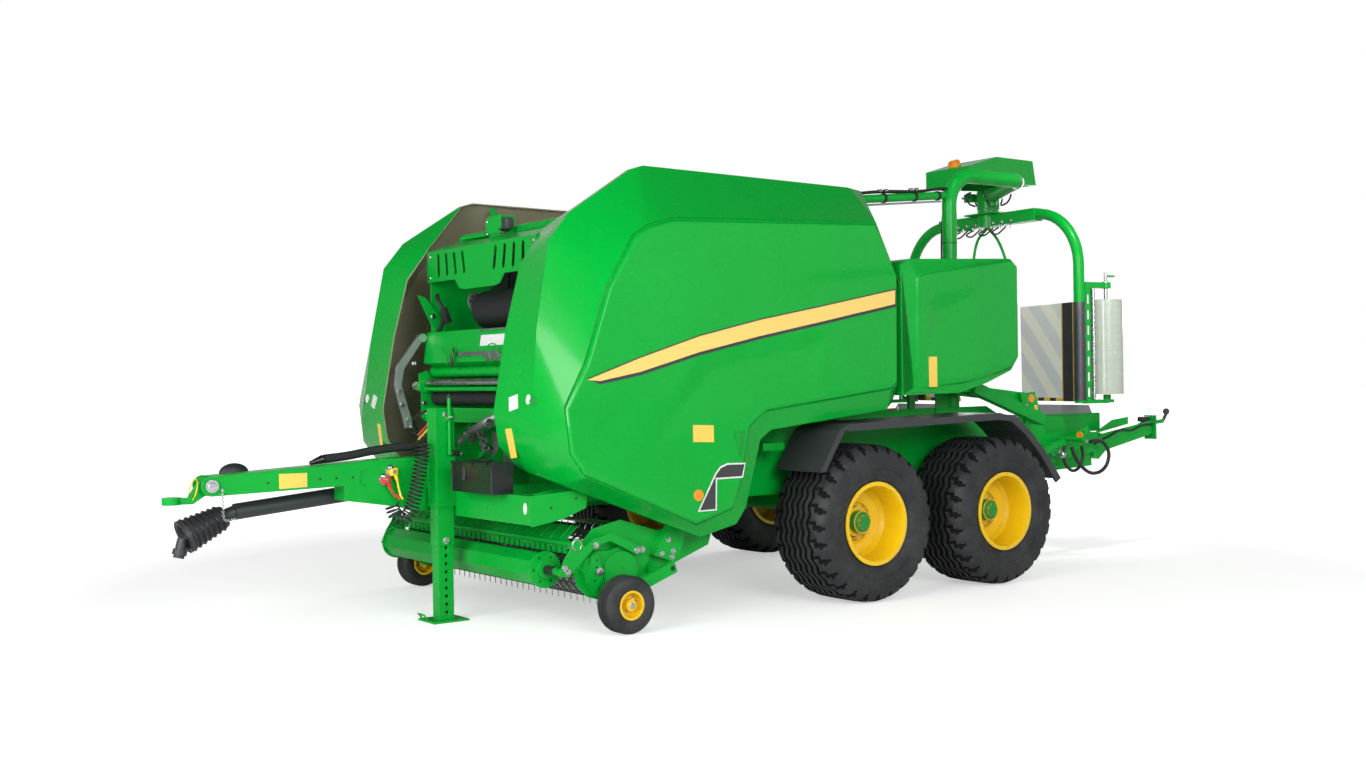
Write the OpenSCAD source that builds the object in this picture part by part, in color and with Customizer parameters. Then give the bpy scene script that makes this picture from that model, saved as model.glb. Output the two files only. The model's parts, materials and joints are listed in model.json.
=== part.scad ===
// Towed round baler with a twin-arm bale wrapper on one tandem-axle frame.
// +Z up, the towing eye leads towards -Y, the machine's left side is +X, floor at Z = 0.
// Millimetres. Fore-and-aft places are counted from the front tandem axle.

/* [Running gear] */
// outside radius of the tandem tyres, over the lugs
tyre_r = 517; // [480:1:560]
// distance from the machine's middle to the middle of a tandem tyre
tyre_x = 1252; // [1150:1:1350]
// width of a tandem tyre
tyre_w = 500; // [400:5:600]
// distance between the two tandem axles
axle_gap = 1242; // [1100:1:1400]
// radius of the rim flange
rim_r = 273; // [240:1:300]
// shoulder lugs on each side of a tandem tyre
lug_count = 28; // [20:1:40]

/* [Pickup] */
// outside radius of the small gauge tyres
gauge_r = 170; // [140:1:220]
// distance from the middle to the middle of a gauge tyre
gauge_x = 1326; // [1280:1:1400]
// width of a gauge tyre
gauge_w = 142; // [100:1:180]
// place of the gauge axle before the front tandem axle
gauge_y = -1875; // [-2000:1:-1700]
// place of the tined reel's axis before the front tandem axle
reel_y = -1850; // [-1950:1:-1750]
// height of the tined reel's axis
reel_z = 365; // [340:1:420]
// half width of the tined pickup reel
reel_half = 1090; // [900:5:1100]
// radius of the reel at the tine tips
tine_r = 254; // [220:1:320]
// tines along one tine bar
tine_count = 30; // [16:1:40]
// radius of the stripper bands around the reel
strip_r = 193; // [180:1:230]

/* [Windguard] */
// place of the windguard roller's axis
guard_y = -2221; // [-2300:1:-2100]
// height of the windguard roller's axis
guard_z = 372; // [300:1:420]
// half length of the windguard roller
guard_half = 1000; // [700:5:1000]

/* [Hitch] */
// width of the drawbar box
drawbar_w = 160; // [120:2:200]
// bore of the towing eye
eye_bore = 50; // [40:1:60]
// height of the towing eye's middle
eye_z = 827; // [700:1:950]
// distance of the parking jack to the left of the drawbar's middle
jack_x = 180; // [150:1:260]
// place of the parking jack before the front tandem axle
jack_y = -2467; // [-2600:1:-2400]

/* [Side doors] */
// distance from the middle to the outer face of a side door
door_x = 1400; // [1300:1:1450]
// thickness of the door skin
skin = 8; // [4:1:12]

/* [Wrapper] */
// place of the wrapping rotor's axis behind the front tandem axle
rotor_y = 2780; // [2600:5:3000]
// distance from the rotor axis to a wrapping arm
rotor_r = 1000; // [900:5:1100]
// parked angle of the wrapping rotor
rotor_turn = -5; // [-20:1:20]
// height of the rotor beam's middle
beam_z = 2770; // [2600:5:2900]
// diameter of a wrapping arm tube
arm_d = 86; // [60:1:110]
// diameter of a stretch-film roll
film_d = 256; // [150:2:280]
// length of a stretch-film roll
film_len = 750; // [500:10:750]
// diameter of the portal tube
portal_d = 108; // [80:1:140]

/* [Hidden] */
// place of the front tandem axle so that the machine's box is centred
axle_y = 42;
green = [0.05, 0.52, 0.16];
yellow = [0.96, 0.77, 0.06];
black = [0.08, 0.08, 0.09];
steel = [0.66, 0.68, 0.70];
grey = [0.42, 0.44, 0.46];
film_green = [0.72, 0.77, 0.69];
orange = [0.95, 0.42, 0.05];
cloth = [0.78, 0.76, 0.68];
// gap between a wheel's parts that are pressed or bolted together
clear = 0.4;
// half the distance between the frame rails, and the height of their middle
rail_x = 700;
rail_z = 780;
// distance from the middle to the outer face of the chamber's walls
wall_x = 720;
// hinge line of the pickup
pivot_y = -1150;
pivot_z = 500;

// ---------------------------------------------------------------- helpers
module from_axle() {
    translate([0, axle_y, 0]) children();
}

// children on the left side and mirrored on the right side
module both() {
    children();
    mirror([1, 0, 0]) children();
}

// a plate lying in a fore-and-aft plane, from x over the thickness t
module side_plate(pts, x, t) {
    translate([x, 0, 0]) rotate([90, 0, 90]) linear_extrude(t) polygon(pts);
}

// round bar along X
module bar_x(x1, x2, y, z, d) {
    translate([x1, y, z]) rotate([0, 90, 0]) cylinder(h = x2 - x1, d = d);
}

// round bar between two points
module rod(p, q, d) {
    v = q - p;
    h = norm(v);
    translate(p)
        rotate([0, acos(v[2] / h), atan2(v[1], v[0])])
            cylinder(h = h, d = d);
}

// square bar between two points of one fore-and-aft plane, w wide along X
module beam(p, q, w, t) {
    v = q - p;
    translate([p[0] - w / 2, p[1], p[2]])
        rotate([atan2(v[2], v[1]), 0, 0])
            translate([0, 0, -t / 2]) cube([w, norm(v), t]);
}

// sheet between two [y, z] lines of the front, from -x to x
module cross_sheet(x, p, q, t) {
    v = q - p;
    translate([-x, p[0], p[1]])
        rotate([atan2(v[1], v[0]), 0, 0]) cube([2 * x, norm(v), t]);
}

// box centred on a point
module block(c, s) {
    translate(c - s / 2) cube(s);
}

// round tube bent in a plane, starting on the x axis and turning towards the y axis
module elbow(r, d, turn) {
    rotate_extrude(angle = turn) translate([r, 0]) circle(d = d);
}

function unit(v) = v / norm(v);
function left_of(v) = [-v[1], v[0]];
// the corner b between a and c, moved in by t from both of its sides
function corner_in(a, b, c, t) =
    let (n1 = left_of(unit(b - a)), n2 = left_of(unit(c - b)), n = unit(n1 + n2))
        b + n * t / (n * n1);
function ring_yz(ring) = [for (p = ring) [p[1], p[2]]];
function ring_in(ring, t) =
    let (n = len(ring), q = ring_yz(ring))
        [for (i = [0 : n - 1])
            let (c = corner_in(q[(i + n - 1) % n], q[i], q[(i + 1) % n], t))
                [ring[i][0], c[0], c[1]]];
// triangles between ring a and ring b of n points each
function band(n, a, b) = concat(
    [for (i = [0 : n - 1]) [a * n + i, a * n + (i + 1) % n, b * n + i]],
    [for (i = [0 : n - 1]) [a * n + (i + 1) % n, b * n + (i + 1) % n, b * n + i]]);
// the same from the other side, each pair of triangles split as the skin before it
function band_back(n, a, b) = concat(
    [for (i = [0 : n - 1]) [a * n + i, a * n + (i + 1) % n, b * n + (i + 1) % n]],
    [for (i = [0 : n - 1]) [a * n + i, b * n + (i + 1) % n, b * n + i]]);

// middle of a ring of places
function ring_middle(ring) = let (n = len(ring)) [for (k = [0 : 2])
    [for (i = [0 : n - 1]) ring[i][k]] * [for (i = [0 : n - 1]) 1] / n];

// pressed panel of one skin: a flat face at x, an edge and a fold behind it
module pressed_panel(x, face_yz, edge, fold, t) {
    n = len(face_yz);
    face = [for (p = face_yz) [x, p[0], p[1]]];
    face_back = [for (p = ring_in(face, t)) p - [t, 0, 0]];
    centre = ring_middle(face);
    polyhedron(
        points = concat(face, edge, fold, ring_in(fold, t), ring_in(edge, t), face_back,
            [centre, centre - [t, 0, 0]]),
        faces = concat([for (i = [0 : n - 1]) [6 * n, (i + 1) % n, i]],
            band(n, 0, 1), band(n, 1, 2), band(n, 2, 3), band_back(n, 3, 4), band_back(n, 4, 5),
            [for (i = [0 : n - 1]) [6 * n + 1, 5 * n + i, 5 * n + (i + 1) % n]]));
}

// hose or cable: one round tube swept along its points, all rings square to the path
module swept_tube(path, d, sides) {
    n = len(path);
    dir = [for (i = [0 : n - 1]) unit(path[min(i + 1, n - 1)] - path[max(i - 1, 0)])];
    up = [for (v = dir) abs(v[0]) > 0.9 ? [0, 0, 1] : [1, 0, 0]];
    side = [for (i = [0 : n - 1]) unit(cross(dir[i], up[i]))];
    polyhedron(
        points = [for (i = [0 : n - 1], k = [0 : sides - 1])
            let (a = k * 360 / sides)
                path[i] + d / 2 * (cos(a) * side[i] + sin(a) * cross(dir[i], side[i]))],
        faces = concat([[for (k = [0 : sides - 1]) k]],
            [for (i = [0 : n - 2], k = [0 : sides - 1])
                [i * sides + k, (i + 1) * sides + k, (i + 1) * sides + (k + 1) % sides,
                    i * sides + (k + 1) % sides]],
            [[for (k = [sides - 1 : -1 : 0]) (n - 1) * sides + k]]));
}

// ---------------------------------------------------------------- wheels
module tyre_shape(r, w, bead_r, lugs, lug_w) {
    h = w / 2;
    side = r - bead_r;
    base = r - (lugs > 0 ? 16 : 0);
    rotate([0, 90, 0]) {
        rotate_extrude()
            polygon([
                [bead_r, -h * 0.82], [bead_r + side * 0.12, -h * 0.88],
                [bead_r + side * 0.52, -h], [r - side * 0.2, -h * 0.96],
                [base - side * 0.03, -h * 0.8], [base, -h * 0.62],
                [base, h * 0.62], [base - side * 0.03, h * 0.8],
                [r - side * 0.2, h * 0.96], [bead_r + side * 0.52, h],
                [bead_r + side * 0.12, h * 0.88], [bead_r, h * 0.82],
                [bead_r + 14, h * 0.72], [r - side * 0.3, h * 0.86],
                [r - side * 0.18, h * 0.7], [r - side * 0.18, -h * 0.7],
                [r - side * 0.3, -h * 0.86], [bead_r + 14, -h * 0.72]]);
        if (lugs > 0)
            for (i = [0 : lugs - 1], s = [-1, 1])
                rotate([0, 0, (i + (s > 0 ? 0.5 : 0)) * 360 / lugs])
                    intersection() {
                        translate([r - 60, -lug_w / 2, s * h * 0.66 - h * 0.24])
                            rotate([s * 16, 0, 0])
                                cube([60, lug_w, h * 0.48]);
                        translate([0, 0, -h]) cylinder(h = 2 * h, r = r);
                    }
    }
}

module tandem_tyre(side, y) {
    from_axle() translate([side * tyre_x, y, tyre_r])
        color(black) tyre_shape(tyre_r, tyre_w, rim_r - 10, lug_count, 46);
}

module rim_shape() {
    flange = 228;
    b = rim_r - 11;
    rotate([0, 90, 0]) rotate_extrude()
        polygon([
            [b - 16, -flange], [rim_r, -flange], [rim_r, -flange + 8], [b - clear, -flange + 10],
            [b - clear, flange - 10], [rim_r, flange - 8], [rim_r, flange], [b - 16, flange],
            [b - 22, flange - 30], [b - 34, 60], [b - 60, 26], [150, 14], [130, 24],
            [128, 8], [96, 4], [96, 40], [40 + clear, 40], [40 + clear, -60], [88, -60],
            [96, -8], [150, 4], [b - 52, 14], [b - 24, 44], [b - 14, 30], [b - 14, -flange + 20]]);
    // closed hub cap with its studs
    bar_x(36, 92, 0, 0, 150);
    bar_x(92, 112, 0, 0, 92);
    for (a = [0 : 45 : 315])
        rotate([a, 0, 0]) bar_x(0, 34, 0, 112, 22);
}

module tandem_rim(side, y) {
    from_axle() translate([side * tyre_x, y, tyre_r]) {
        if (side > 0) color(yellow) rim_shape();
        else color(yellow) mirror([1, 0, 0]) rim_shape();
    }
}

module tyre_front_left() { tandem_tyre(1, 0); }
module tyre_front_right() { tandem_tyre(-1, 0); }
module tyre_rear_left() { tandem_tyre(1, axle_gap); }
module tyre_rear_right() { tandem_tyre(-1, axle_gap); }
module rim_front_left() { tandem_rim(1, 0); }
module rim_front_right() { tandem_rim(-1, 0); }
module rim_rear_left() { tandem_rim(1, axle_gap); }
module rim_rear_right() { tandem_rim(-1, axle_gap); }

module gauge_tyre(side) {
    from_axle() translate([side * gauge_x, gauge_y, gauge_r])
        color(black) tyre_shape(gauge_r, gauge_w, 82, 0, 0);
}

module gauge_rim(side) {
    from_axle() translate([side * gauge_x, gauge_y, gauge_r])
        mirror([side > 0 ? 0 : 1, 0, 0]) color(yellow) {
            rotate([0, 90, 0]) rotate_extrude()
                polygon([
                    [72, -64], [86, -64], [86, -60.8], [82 - clear, -58.8],
                    [82 - clear, 58.8], [86, 60.8], [86, 64], [72, 64], [70, 40], [60, 14], [34, 8], [34, 60],
                    [13 + clear, 60], [13 + clear, -56], [34, -56], [34, 0], [64, 4], [72, 10]]);
            bar_x(58, 70, 0, 0, 42);
        }
}

module gauge_tyre_left() { gauge_tyre(1); }
module gauge_tyre_right() { gauge_tyre(-1); }
module gauge_rim_left() { gauge_rim(1); }
module gauge_rim_right() { gauge_rim(-1); }

// ---------------------------------------------------------------- axles and frame
module axles() {
    from_axle() color(green) {
        both() {
            // rocking beam that carries both stub axles
            beam([860, -90, tyre_r], [860, axle_gap + 90, tyre_r], 110, 150);
            for (y = [0, axle_gap]) {
                bar_x(915, 1186, y, tyre_r, 110);
                bar_x(1185, tyre_x + 30, y, tyre_r, 80);
            }
            // hanger of the rocker pin under the frame rail
            side_plate([[axle_gap / 2 - 190, 700], [axle_gap / 2 + 190, 700],
                [axle_gap / 2 + 90, 430], [axle_gap / 2 - 90, 430]], 740, 30);
        }
        bar_x(-806, 806, axle_gap / 2, tyre_r, 120);
    }
}

module main_frame() {
    from_axle() color(green) {
        both() {
            beam([rail_x, -1990, rail_z], [rail_x, 1900, rail_z], 90, 160);
            // cheek behind the tandem wheels, and the deck on top of it
            side_plate([[-900, 700], [1700, 700], [1950, 900], [1950, 1120], [1700, 1240],
                [-700, 1240], [-1000, 1120]], 900, 8);
            block([1050, -60, 1236], [300, 640, 8]);
            block([1180, 90, 1262], [90, 200, 44]);
            for (y = [-700, 200, 1500])
                block([824, y, 790], [158, 60, 120]);
        }
        for (y = [-1300, 0, axle_gap, 1860])
            block([0, y, 770], [1310, 100, 120]);
    }
}

module bumper() {
    from_axle() color(green) {
        both() {
            // arm from the rail's front end, and the cheek plates beside the pickup
            block([rail_x, -2162.5, 815], [90, 345, 90]);
            side_plate([[-2400, 650], [-2385, 642], [-2177, 675], [-2022, 729], [-2013, 793],
                [-2037, 840], [-2400, 819]], 1132, 8);
            side_plate([[-2335, 700], [-2040, 750], [-1600, 765], [-1480, 860], [-2050, 850],
                [-2335, 815]], 1000, 8);
            block([872.5, -1850, 805], [255, 40, 90]);
        }
        // beam in front of the pickup
        difference() {
            side_plate([[-2400, 650], [-2400, 818], [-2335, 818], [-2335, 672]], -1132, 2264);
            side_plate([[-2392, 661], [-2392, 810], [-2343, 810], [-2343, 678]], -1124, 2248);
        }
    }
}

// ---------------------------------------------------------------- hitch
module drawbar() {
    w = drawbar_w;
    from_axle() color(green) {
        difference() {
            side_plate([[-3870, 846], [-3850, 962], [-2800, 1012], [-2400, 1018],
                [-2400, 668], [-2500, 672], [-2642, 703], [-3062, 772], [-3062, 862]], -w / 2, w);
            // the box is hollow from its open front end
            side_plate([[-3880, 856], [-3880, 950], [-2800, 1002], [-2410, 1008],
                [-2410, 680], [-2500, 682], [-2640, 712], [-3050, 780], [-3050, 874]],
                -w / 2 + 8, w - 16);
            translate([-w, -3866, 905]) rotate([0, 90, 0]) cylinder(h = 2 * w, d = 30);
        }
        // cheeks of the eye's pin
        for (x = [-w / 2, w / 2 - 12]) difference() {
            bar_x(x, x + 12, -3866, 905, 116);
            bar_x(x - 5, x + 20, -3866, 905, 30);
        }
        // head plates between the drawbar and the frame, with the drive's opening
        both() difference() {
            side_plate([[-2410, 830], [-2410, 990], [-2300, 1060], [-2140, 1200], [-2080, 1235],
                [-1970, 1255], [-1970, 860], [-2300, 820]], w / 2 - 8, 8);
            bar_x(w / 2 - 20, w / 2 + 20, -2110, 1080, 220);
        }
        block([0, -2368, 830], [560, 64, 24]);
        // bracket of the parking jack
        block([(w / 2 + jack_x - 56) / 2, jack_y, 900], [jack_x - 56 - w / 2, 100, 150]);
    }
}

module towing_eye() {
    from_axle() color(green) {
        difference() {
            union() {
                translate([0, -4070, eye_z - 21]) cylinder(h = 42, d = 102);
                side_plate([[-4030, eye_z - 20], [-4030, eye_z + 20], [-3972, eye_z + 14],
                    [-3900, 950], [-3850, 950], [-3850, 866], [-3880, 852], [-3955, eye_z - 22]],
                    -28, 56);
            }
            translate([0, -4070, eye_z - 40]) cylinder(h = 80, d = eye_bore);
        }
        bar_x(-drawbar_w / 2 - 10, drawbar_w / 2 + 10, -3866, 905, 29);
    }
}

// drive shaft in its guard tube, the front joint hanging out of its pleated cone
bell_y = -3700;
bell_z = 706;
pleats = 7;

module pto_shaft() {
    from_axle() {
        color(black) {
            rod([-200, -3640, 727], [-190, -2640, 822], 98);
            rod([-200, -3720, 698], [-200, -3640, 727], 78);
            translate([-200, bell_y, bell_z]) rotate([114, 0, 0]) difference() {
                union() {
                    for (i = [0 : pleats - 1])
                        translate([0, 0, i * 34])
                            cylinder(h = 34.5, d1 = 128 + i * 8, d2 = 152 + i * 8);
                    translate([0, 0, pleats * 34]) cylinder(h = 26, d = 204);
                }
                translate([0, 0, 150]) cylinder(h = 160, d1 = 90, d2 = 180);
            }
            rod([-191, -2640, 822], [-188, -2560, 846], 92);
            rod([-188, -2575, 842], [-150, -2290, 1016], 112);
        }
        // yoke and its quick-lock collar
        color(grey) {
            rod([-200, -3850, 640], [-200, -3950, 575], 52);
            rod([-200, -3945, 590], [-200, -3972, 480], 62);
            rod([-200, -3960, 530], [-200, -3968, 498], 82);
        }
    }
}

module gearbox() {
    from_axle() color(grey) {
        block([-60, -1850, 1090], [300, 240, 300]);
        rod([-147, -2270, 1030], [-130, -2150, 1100], 60);
        rod([-130, -2165, 1092], [-130, -1965, 1170], 58);
        rod([-130, -2120, 1110], [-130, -2080, 1126], 92);
        rod([-130, -2030, 1145], [-130, -1990, 1160], 96);
        bar_x(90, 700, -1850, 1110, 70);
    }
}

// ---------------------------------------------------------------- toolbox and jack
box_x = 650;
box_y = -2440;

module toolbox() {
    from_axle() color(black) difference() {
        block([box_x, box_y, 902], [500, 140, 166]);
        block([box_x, box_y, 910], [488, 128, 162]);
    }
}

module toolbox_lid() {
    from_axle() color(black) {
        block([box_x, box_y - 1, 994.5], [508, 150, 18]);
        // knuckles of the hinge in front, and the rim behind
        for (x = [-170, 0, 170])
            bar_x(box_x + x - 30, box_x + x + 30, box_y - 79, 994, 14);
        block([box_x, box_y + 74.3, 975], [508, 6, 40]);
        block([box_x, box_y, 1008], [150, 60, 14]);
    }
}

// outer size of the jack's tubes, [across, fore and aft]
jack_outer = [112, 124];
jack_sleeve = [100, 112];
jack_inner = [88, 100];
hole_count = 9;

module square_tube(s, z1, z2, wall) {
    difference() {
        translate([jack_x - s[0] / 2, jack_y - s[1] / 2, z1]) cube([s[0], s[1], z2 - z1]);
        translate([jack_x - s[0] / 2 + wall, jack_y - s[1] / 2 + wall, z1 - 5])
            cube([s[0] - 2 * wall, s[1] - 2 * wall, z2 - z1 + 10]);
    }
}

module jack_tube() {
    from_axle() {
        color(green) {
            square_tube(jack_outer, 714, 1315, 6);
            square_tube(jack_sleeve, 467, 720, 4.5);
            square_tube([jack_outer[0] + 8, jack_outer[1] + 8], 708, 732, 12);
            // pad on the bumper beam
            block([jack_x, -2402.5, 770], [90, 5, 80]);
        }
        // stowed crank
        color(steel) {
            rod([jack_x + 76, jack_y + 20, 1400], [jack_x + 76, jack_y + 20, 1030], 24);
            rod([jack_x + 76, jack_y + 20, 1042], [jack_x + 76, jack_y + 84, 1034], 20);
            block([jack_x + 66, jack_y + 20, 1252], [40, 44, 30]);
        }
    }
}

module jack_leg() {
    from_axle() color(green) {
        difference() {
            translate([jack_x - 44, jack_y - 50, 10]) cube([88, 100, 820]);
            translate([jack_x - 38, jack_y - 44, 5]) cube([76, 88, 830]);
            for (i = [0 : hole_count - 1])
                bar_x(jack_x - 60, jack_x + 60, jack_y, 55 + i * 50, 20);
        }
        block([jack_x, jack_y, 6], [220, 240, 12]);
        // lifting loop of the foot plate
        rod([jack_x - 60, jack_y - 112, 10], [jack_x - 60, jack_y - 140, 48], 12);
        rod([jack_x + 10, jack_y - 112, 10], [jack_x + 10, jack_y - 140, 48], 12);
        bar_x(jack_x - 66, jack_x + 16, jack_y - 140, 48, 12);
    }
}

// ---------------------------------------------------------------- front of the chamber
// slots of the grille on one side: [distance from the middle, lean]
grille_slots = [[212, 12], [330, 10], [448, 6], [566, 2]];

module grille_panel() {
    from_axle() color(green) {
        difference() {
            translate([0, -2080, 0]) rotate([90, 0, 0]) linear_extrude(8)
                polygon([[-726, 2160], [-330, 2160], [-270, 2100], [-200, 2088], [200, 2088],
                    [270, 2100], [330, 2160], [726, 2160], [726, 2362], [-726, 2362]]);
            for (s = [-1, 1], v = grille_slots)
                translate([s * v[0], -2080, 2268]) rotate([0, s * v[1], 0]) {
                    cube([38, 60, 118], center = true);
                    for (z = [-59, 59])
                        translate([0, 30, z]) rotate([90, 0, 0]) cylinder(h = 60, d = 38);
                }
        }
        // sloping lip and the two ends
        translate([-726, -2088, 2362]) rotate([22, 0, 0]) cube([1452, 150, 6]);
        both() side_plate([[-2088, 2160], [-2088, 2362], [-1950, 2417], [-1950, 2160]], 720, 6);
    }
}

module net_cradle() {
    from_axle() color(green) {
        both() {
            // long side arm, knee plate and lower bracket
            side_plate([[-2175, 2075], [-2120, 2060], [-1960, 1880], [-1960, 1180], [-2080, 1180],
                [-2160, 1240], [-2160, 1480], [-2080, 1560], [-2050, 1830], [-2090, 1900]], 702, 10);
            side_plate([[-2180, 1540], [-2120, 1560], [-2080, 1480], [-2120, 1400], [-2180, 1420]],
                684, 20);
        }
        // net tray folded from one sheet: top, front and foot
        side_plate([[-1966, 1822], [-1966, 1830], [-2108, 1818], [-2137, 1608], [-1982, 1552],
            [-1979, 1560], [-2128, 1614], [-2100, 1811]], -706, 1412);
        bar_x(-706, 706, -2060, 1545, 70);
        bar_x(-694, 694, -2128, 1432, 30);
        // apron under the dark roller
        side_plate([[-1966, 1272], [-1966, 1280], [-2116, 1308], [-2138, 1215], [-2130, 1213],
            [-2109, 1299]], -706, 1412);
    }
}

module chamber_rollers() {
    from_axle() color(steel) {
        // net rollers and the scale rail in front of the tray
        bar_x(-683.7, 683.7, -2130, 1478, 44);
        bar_x(-701, 701, -1990, 1610, 36);
        block([60, -2142, 1660], [560, 8, 26]);
        block([320, -2143, 1632], [300, 10, 40]);
        // belt rollers
        bar_x(-711, 711, -1600, 1090, 58);
        bar_x(-711, 711, -420, 2434, 56);
        bar_x(-711, 711, -1000, 2405, 70);
    }
}

module net_roll() {
    from_axle() color(black) {
        bar_x(-290, 660, -1860, 1960, 250);
        bar_x(-366, -320, -1890, 2010, 100);
        bar_x(-686, 686, -2050, 1372, 96);
        // grip of the net knife
        rod([-235, -2160, 1700], [-245, -2165, 1580], 22);
    }
}

module net_brake() {
    from_axle() color(grey) {
        difference() {
            bar_x(-392, -376, -1900, 2020, 128);
            bar_x(-400, -370, -1900, 2020, 60);
        }
        // bent brake lever with its eye
        difference() {
            side_plate([[-2160, 1810], [-2120, 1790], [-2280, 1570], [-2300, 1460], [-2270, 1360],
                [-2230, 1230], [-2225, 1170], [-2275, 1170], [-2290, 1240], [-2325, 1360],
                [-2350, 1460], [-2335, 1590]], -736, 22);
            bar_x(-740, -700, -2140, 1790, 14);
        }
        bar_x(-744, -706, -2148, 1783, 56);
        bar_x(-744, -706, -2316, 1420, 40);
    }
}

module chamber_walls() {
    from_axle() color(green) {
        both() {
            side_plate([[-2070, 900], [-2072, 2350], [-1750, 2500], [-300, 2560], [20, 2572],
                [20, 2490], [-80, 2480],
                [-80, 870], [-1500, 870], [-1800, 900]], wall_x - 8, 8);
            block([680, -1200, 868], [64, 1200, 16]);
            // arms of the door's hinge
            for (y = [-1400, -100])
                rod([718, y, 2470], [1050, y, 2732], 40);
        }
        // cross tubes
        bar_x(-712, 712, -1800, 2470, 70);
        block([0, -300, 2520], [1424, 90, 60]);
        block([0, -1690, 960], [1424, 60, 60]);
        // bracket of the work light, and the bale-shape pointer's bow
        block([-60, -1880, 2490], [150, 110, 150]);
        block([-60, -1938, 2500], [190, 12, 110]);
        rod([-130, -1905, 2452], [-420, -1990, 2440], 20);
        rod([-416, -1992, 2442], [-416, -1925, 2442], 20);
        rod([-420, -1930, 2444], [-130, -1860, 2454], 20);
        // strut carrying the portal's brace
        beam([790, -300, 2520], [790, 300, 2640], 60, 60);
        block([740, -300, 2520], [60, 90, 60]);
    }
}

module chamber_belts() {
    from_axle() {
        color(black)
            for (i = [-2 : 2])
                difference() {
                    side_plate([[-1640, 1050], [-1640, 2360], [-1560, 2440], [-380, 2480],
                        [-330, 2400], [-1480, 2330], [-1560, 2260], [-1560, 1050]],
                        i * 260 - 118, 236);
                    side_plate([[-1630, 1060], [-1630, 2356], [-1556, 2430], [-386, 2470],
                        [-346, 2409], [-1484, 2340], [-1570, 2264], [-1570, 1060]],
                        i * 260 - 120, 240);
                }
    }
}

// ---------------------------------------------------------------- side doors
// places of the flat face, [y, z]
door_face = [[110, 2480], [-1540, 2420], [-1720, 2370], [-1820, 2310], [-2010, 2000],
    [-2160, 1580], [-2310, 1315], [-2280, 1060], [-2190, 940], [-2150, 922], [-1410, 616],
    [-1130, 690], [-1070, 820], [-990, 1180], [-850, 1280], [220, 1400], [290, 1430],
    [300, 2140], [260, 2200]];
// matching places of the edge, [x, y, z]
door_edge = [[1100, 130, 2755], [1100, -1550, 2776], [1100, -1640, 2748], [1100, -2090, 2460],
    [1110, -2235, 2280], [1125, -2330, 1790], [1150, -2390, 1260], [1160, -2340, 1080],
    [1190, -2240, 890], [1197, -2195, 871], [1330, -1330, 520], [1330, -1050, 580],
    [1330, -970, 680], [1330, -850, 1090], [1330, -760, 1150], [1330, 240, 1250], [1330, 300, 1300],
    [1300, 306, 2140], [1110, 250, 2735]];
// inner edge of the fold behind the edge: a narrow flange all round, the front wall in front
door_fold = [[1060, 130, 2755], [1060, -1550, 2776], [1060, -1640, 2748], [765, -2060, 2400],
    [765, -2225, 2180], [765, -2330, 1790], [765, -2420, 1300], [765, -2390, 1100],
    [800, -2280, 960], [1152, -2195, 871], [1290, -1330, 520], [1290, -1050, 580],
    [1290, -970, 680], [1290, -850, 1090], [1290, -760, 1150], [1290, 240, 1250], [1290, 300, 1300],
    [1240, 306, 2140], [1070, 250, 2735]];

module door() {
    color(green) pressed_panel(door_x, door_face, door_edge, door_fold, skin);
}

module stripe() {
    color(yellow) side_plate([[-2169, 1479], [-1802, 1602], [-1362, 1732], [-895, 1834],
        [-398, 1923], [272, 2048], [270, 1954], [-400, 1827], [-897, 1735], [-1364, 1637],
        [-1803, 1521], [-2081, 1472]], door_x + 0.3, 1.5);
}

module door_left() { from_axle() door(); }
module door_right() { from_axle() mirror([1, 0, 0]) door(); }
module stripe_left() { from_axle() stripe(); }
module stripe_right() { from_axle() mirror([1, 0, 0]) stripe(); }

// ---------------------------------------------------------------- tailgate
// pressing rollers carried by the tailgate, [y, z]
gate_rollers = [[0, 2440], [420, 2320], [760, 2020], [850, 1700], [760, 1300], [480, 1010], [60, 950]];

module tailgate() {
    from_axle() color(green) {
        both() {
            side_plate([[-60, 2500], [400, 2390], [780, 2100], [910, 1700], [810, 1250],
                [500, 950], [-60, 890]], 650, 8);
            // outer rib and the lug of the hinge
            side_plate([[-60, 1750], [860, 1700], [860, 1640], [-60, 1690]], 658, 30);
            side_plate([[-70, 2552], [40, 2552], [80, 2470], [-60, 2400]], 658, 30);
        }
        for (v = gate_rollers)
            bar_x(-651, 651, v[0], v[1], 76);
        bar_x(-706, 706, -20, 2530, 44);
        // rear sheets between the rollers
        cross_sheet(650, [430, 2372], [776, 2092], 6);
        cross_sheet(650, [806, 1262], [500, 958], 6);
    }
}

// ---------------------------------------------------------------- storage boxes and fenders
store_outline = [[1420, 2300], [420, 2262], [340, 2222], [340, 1345], [900, 1352], [1180, 1420],
    [1430, 1505], [1490, 1590], [1490, 2250]];
store_face = [[1416, 2290], [520, 2165], [468, 2115], [468, 1400], [900, 1428], [1190, 1480],
    [1412, 1530], [1480, 1604], [1482, 2238]];

module storage_boxes() {
    from_axle() color(green) both() {
        pressed_panel(1420, store_face, [for (p = store_outline) [1385, p[0], p[1]]],
            [for (p = store_outline) [1184, p[0], p[1]]], 10);
        // brackets to the frame's cheek
        block([1052, 900, 1400], [276, 60, 40]);
        block([914, 900, 1320], [24, 60, 160]);
        block([1196, 900, 1400], [12, 120, 90]);
    }
}

fender_line = [[-450, 870], [-360, 1010], [-280, 1130], [-190, 1171], [1245, 1204],
    [1413, 1172], [1561, 1074], [1722, 924], [1896, 713]];

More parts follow.
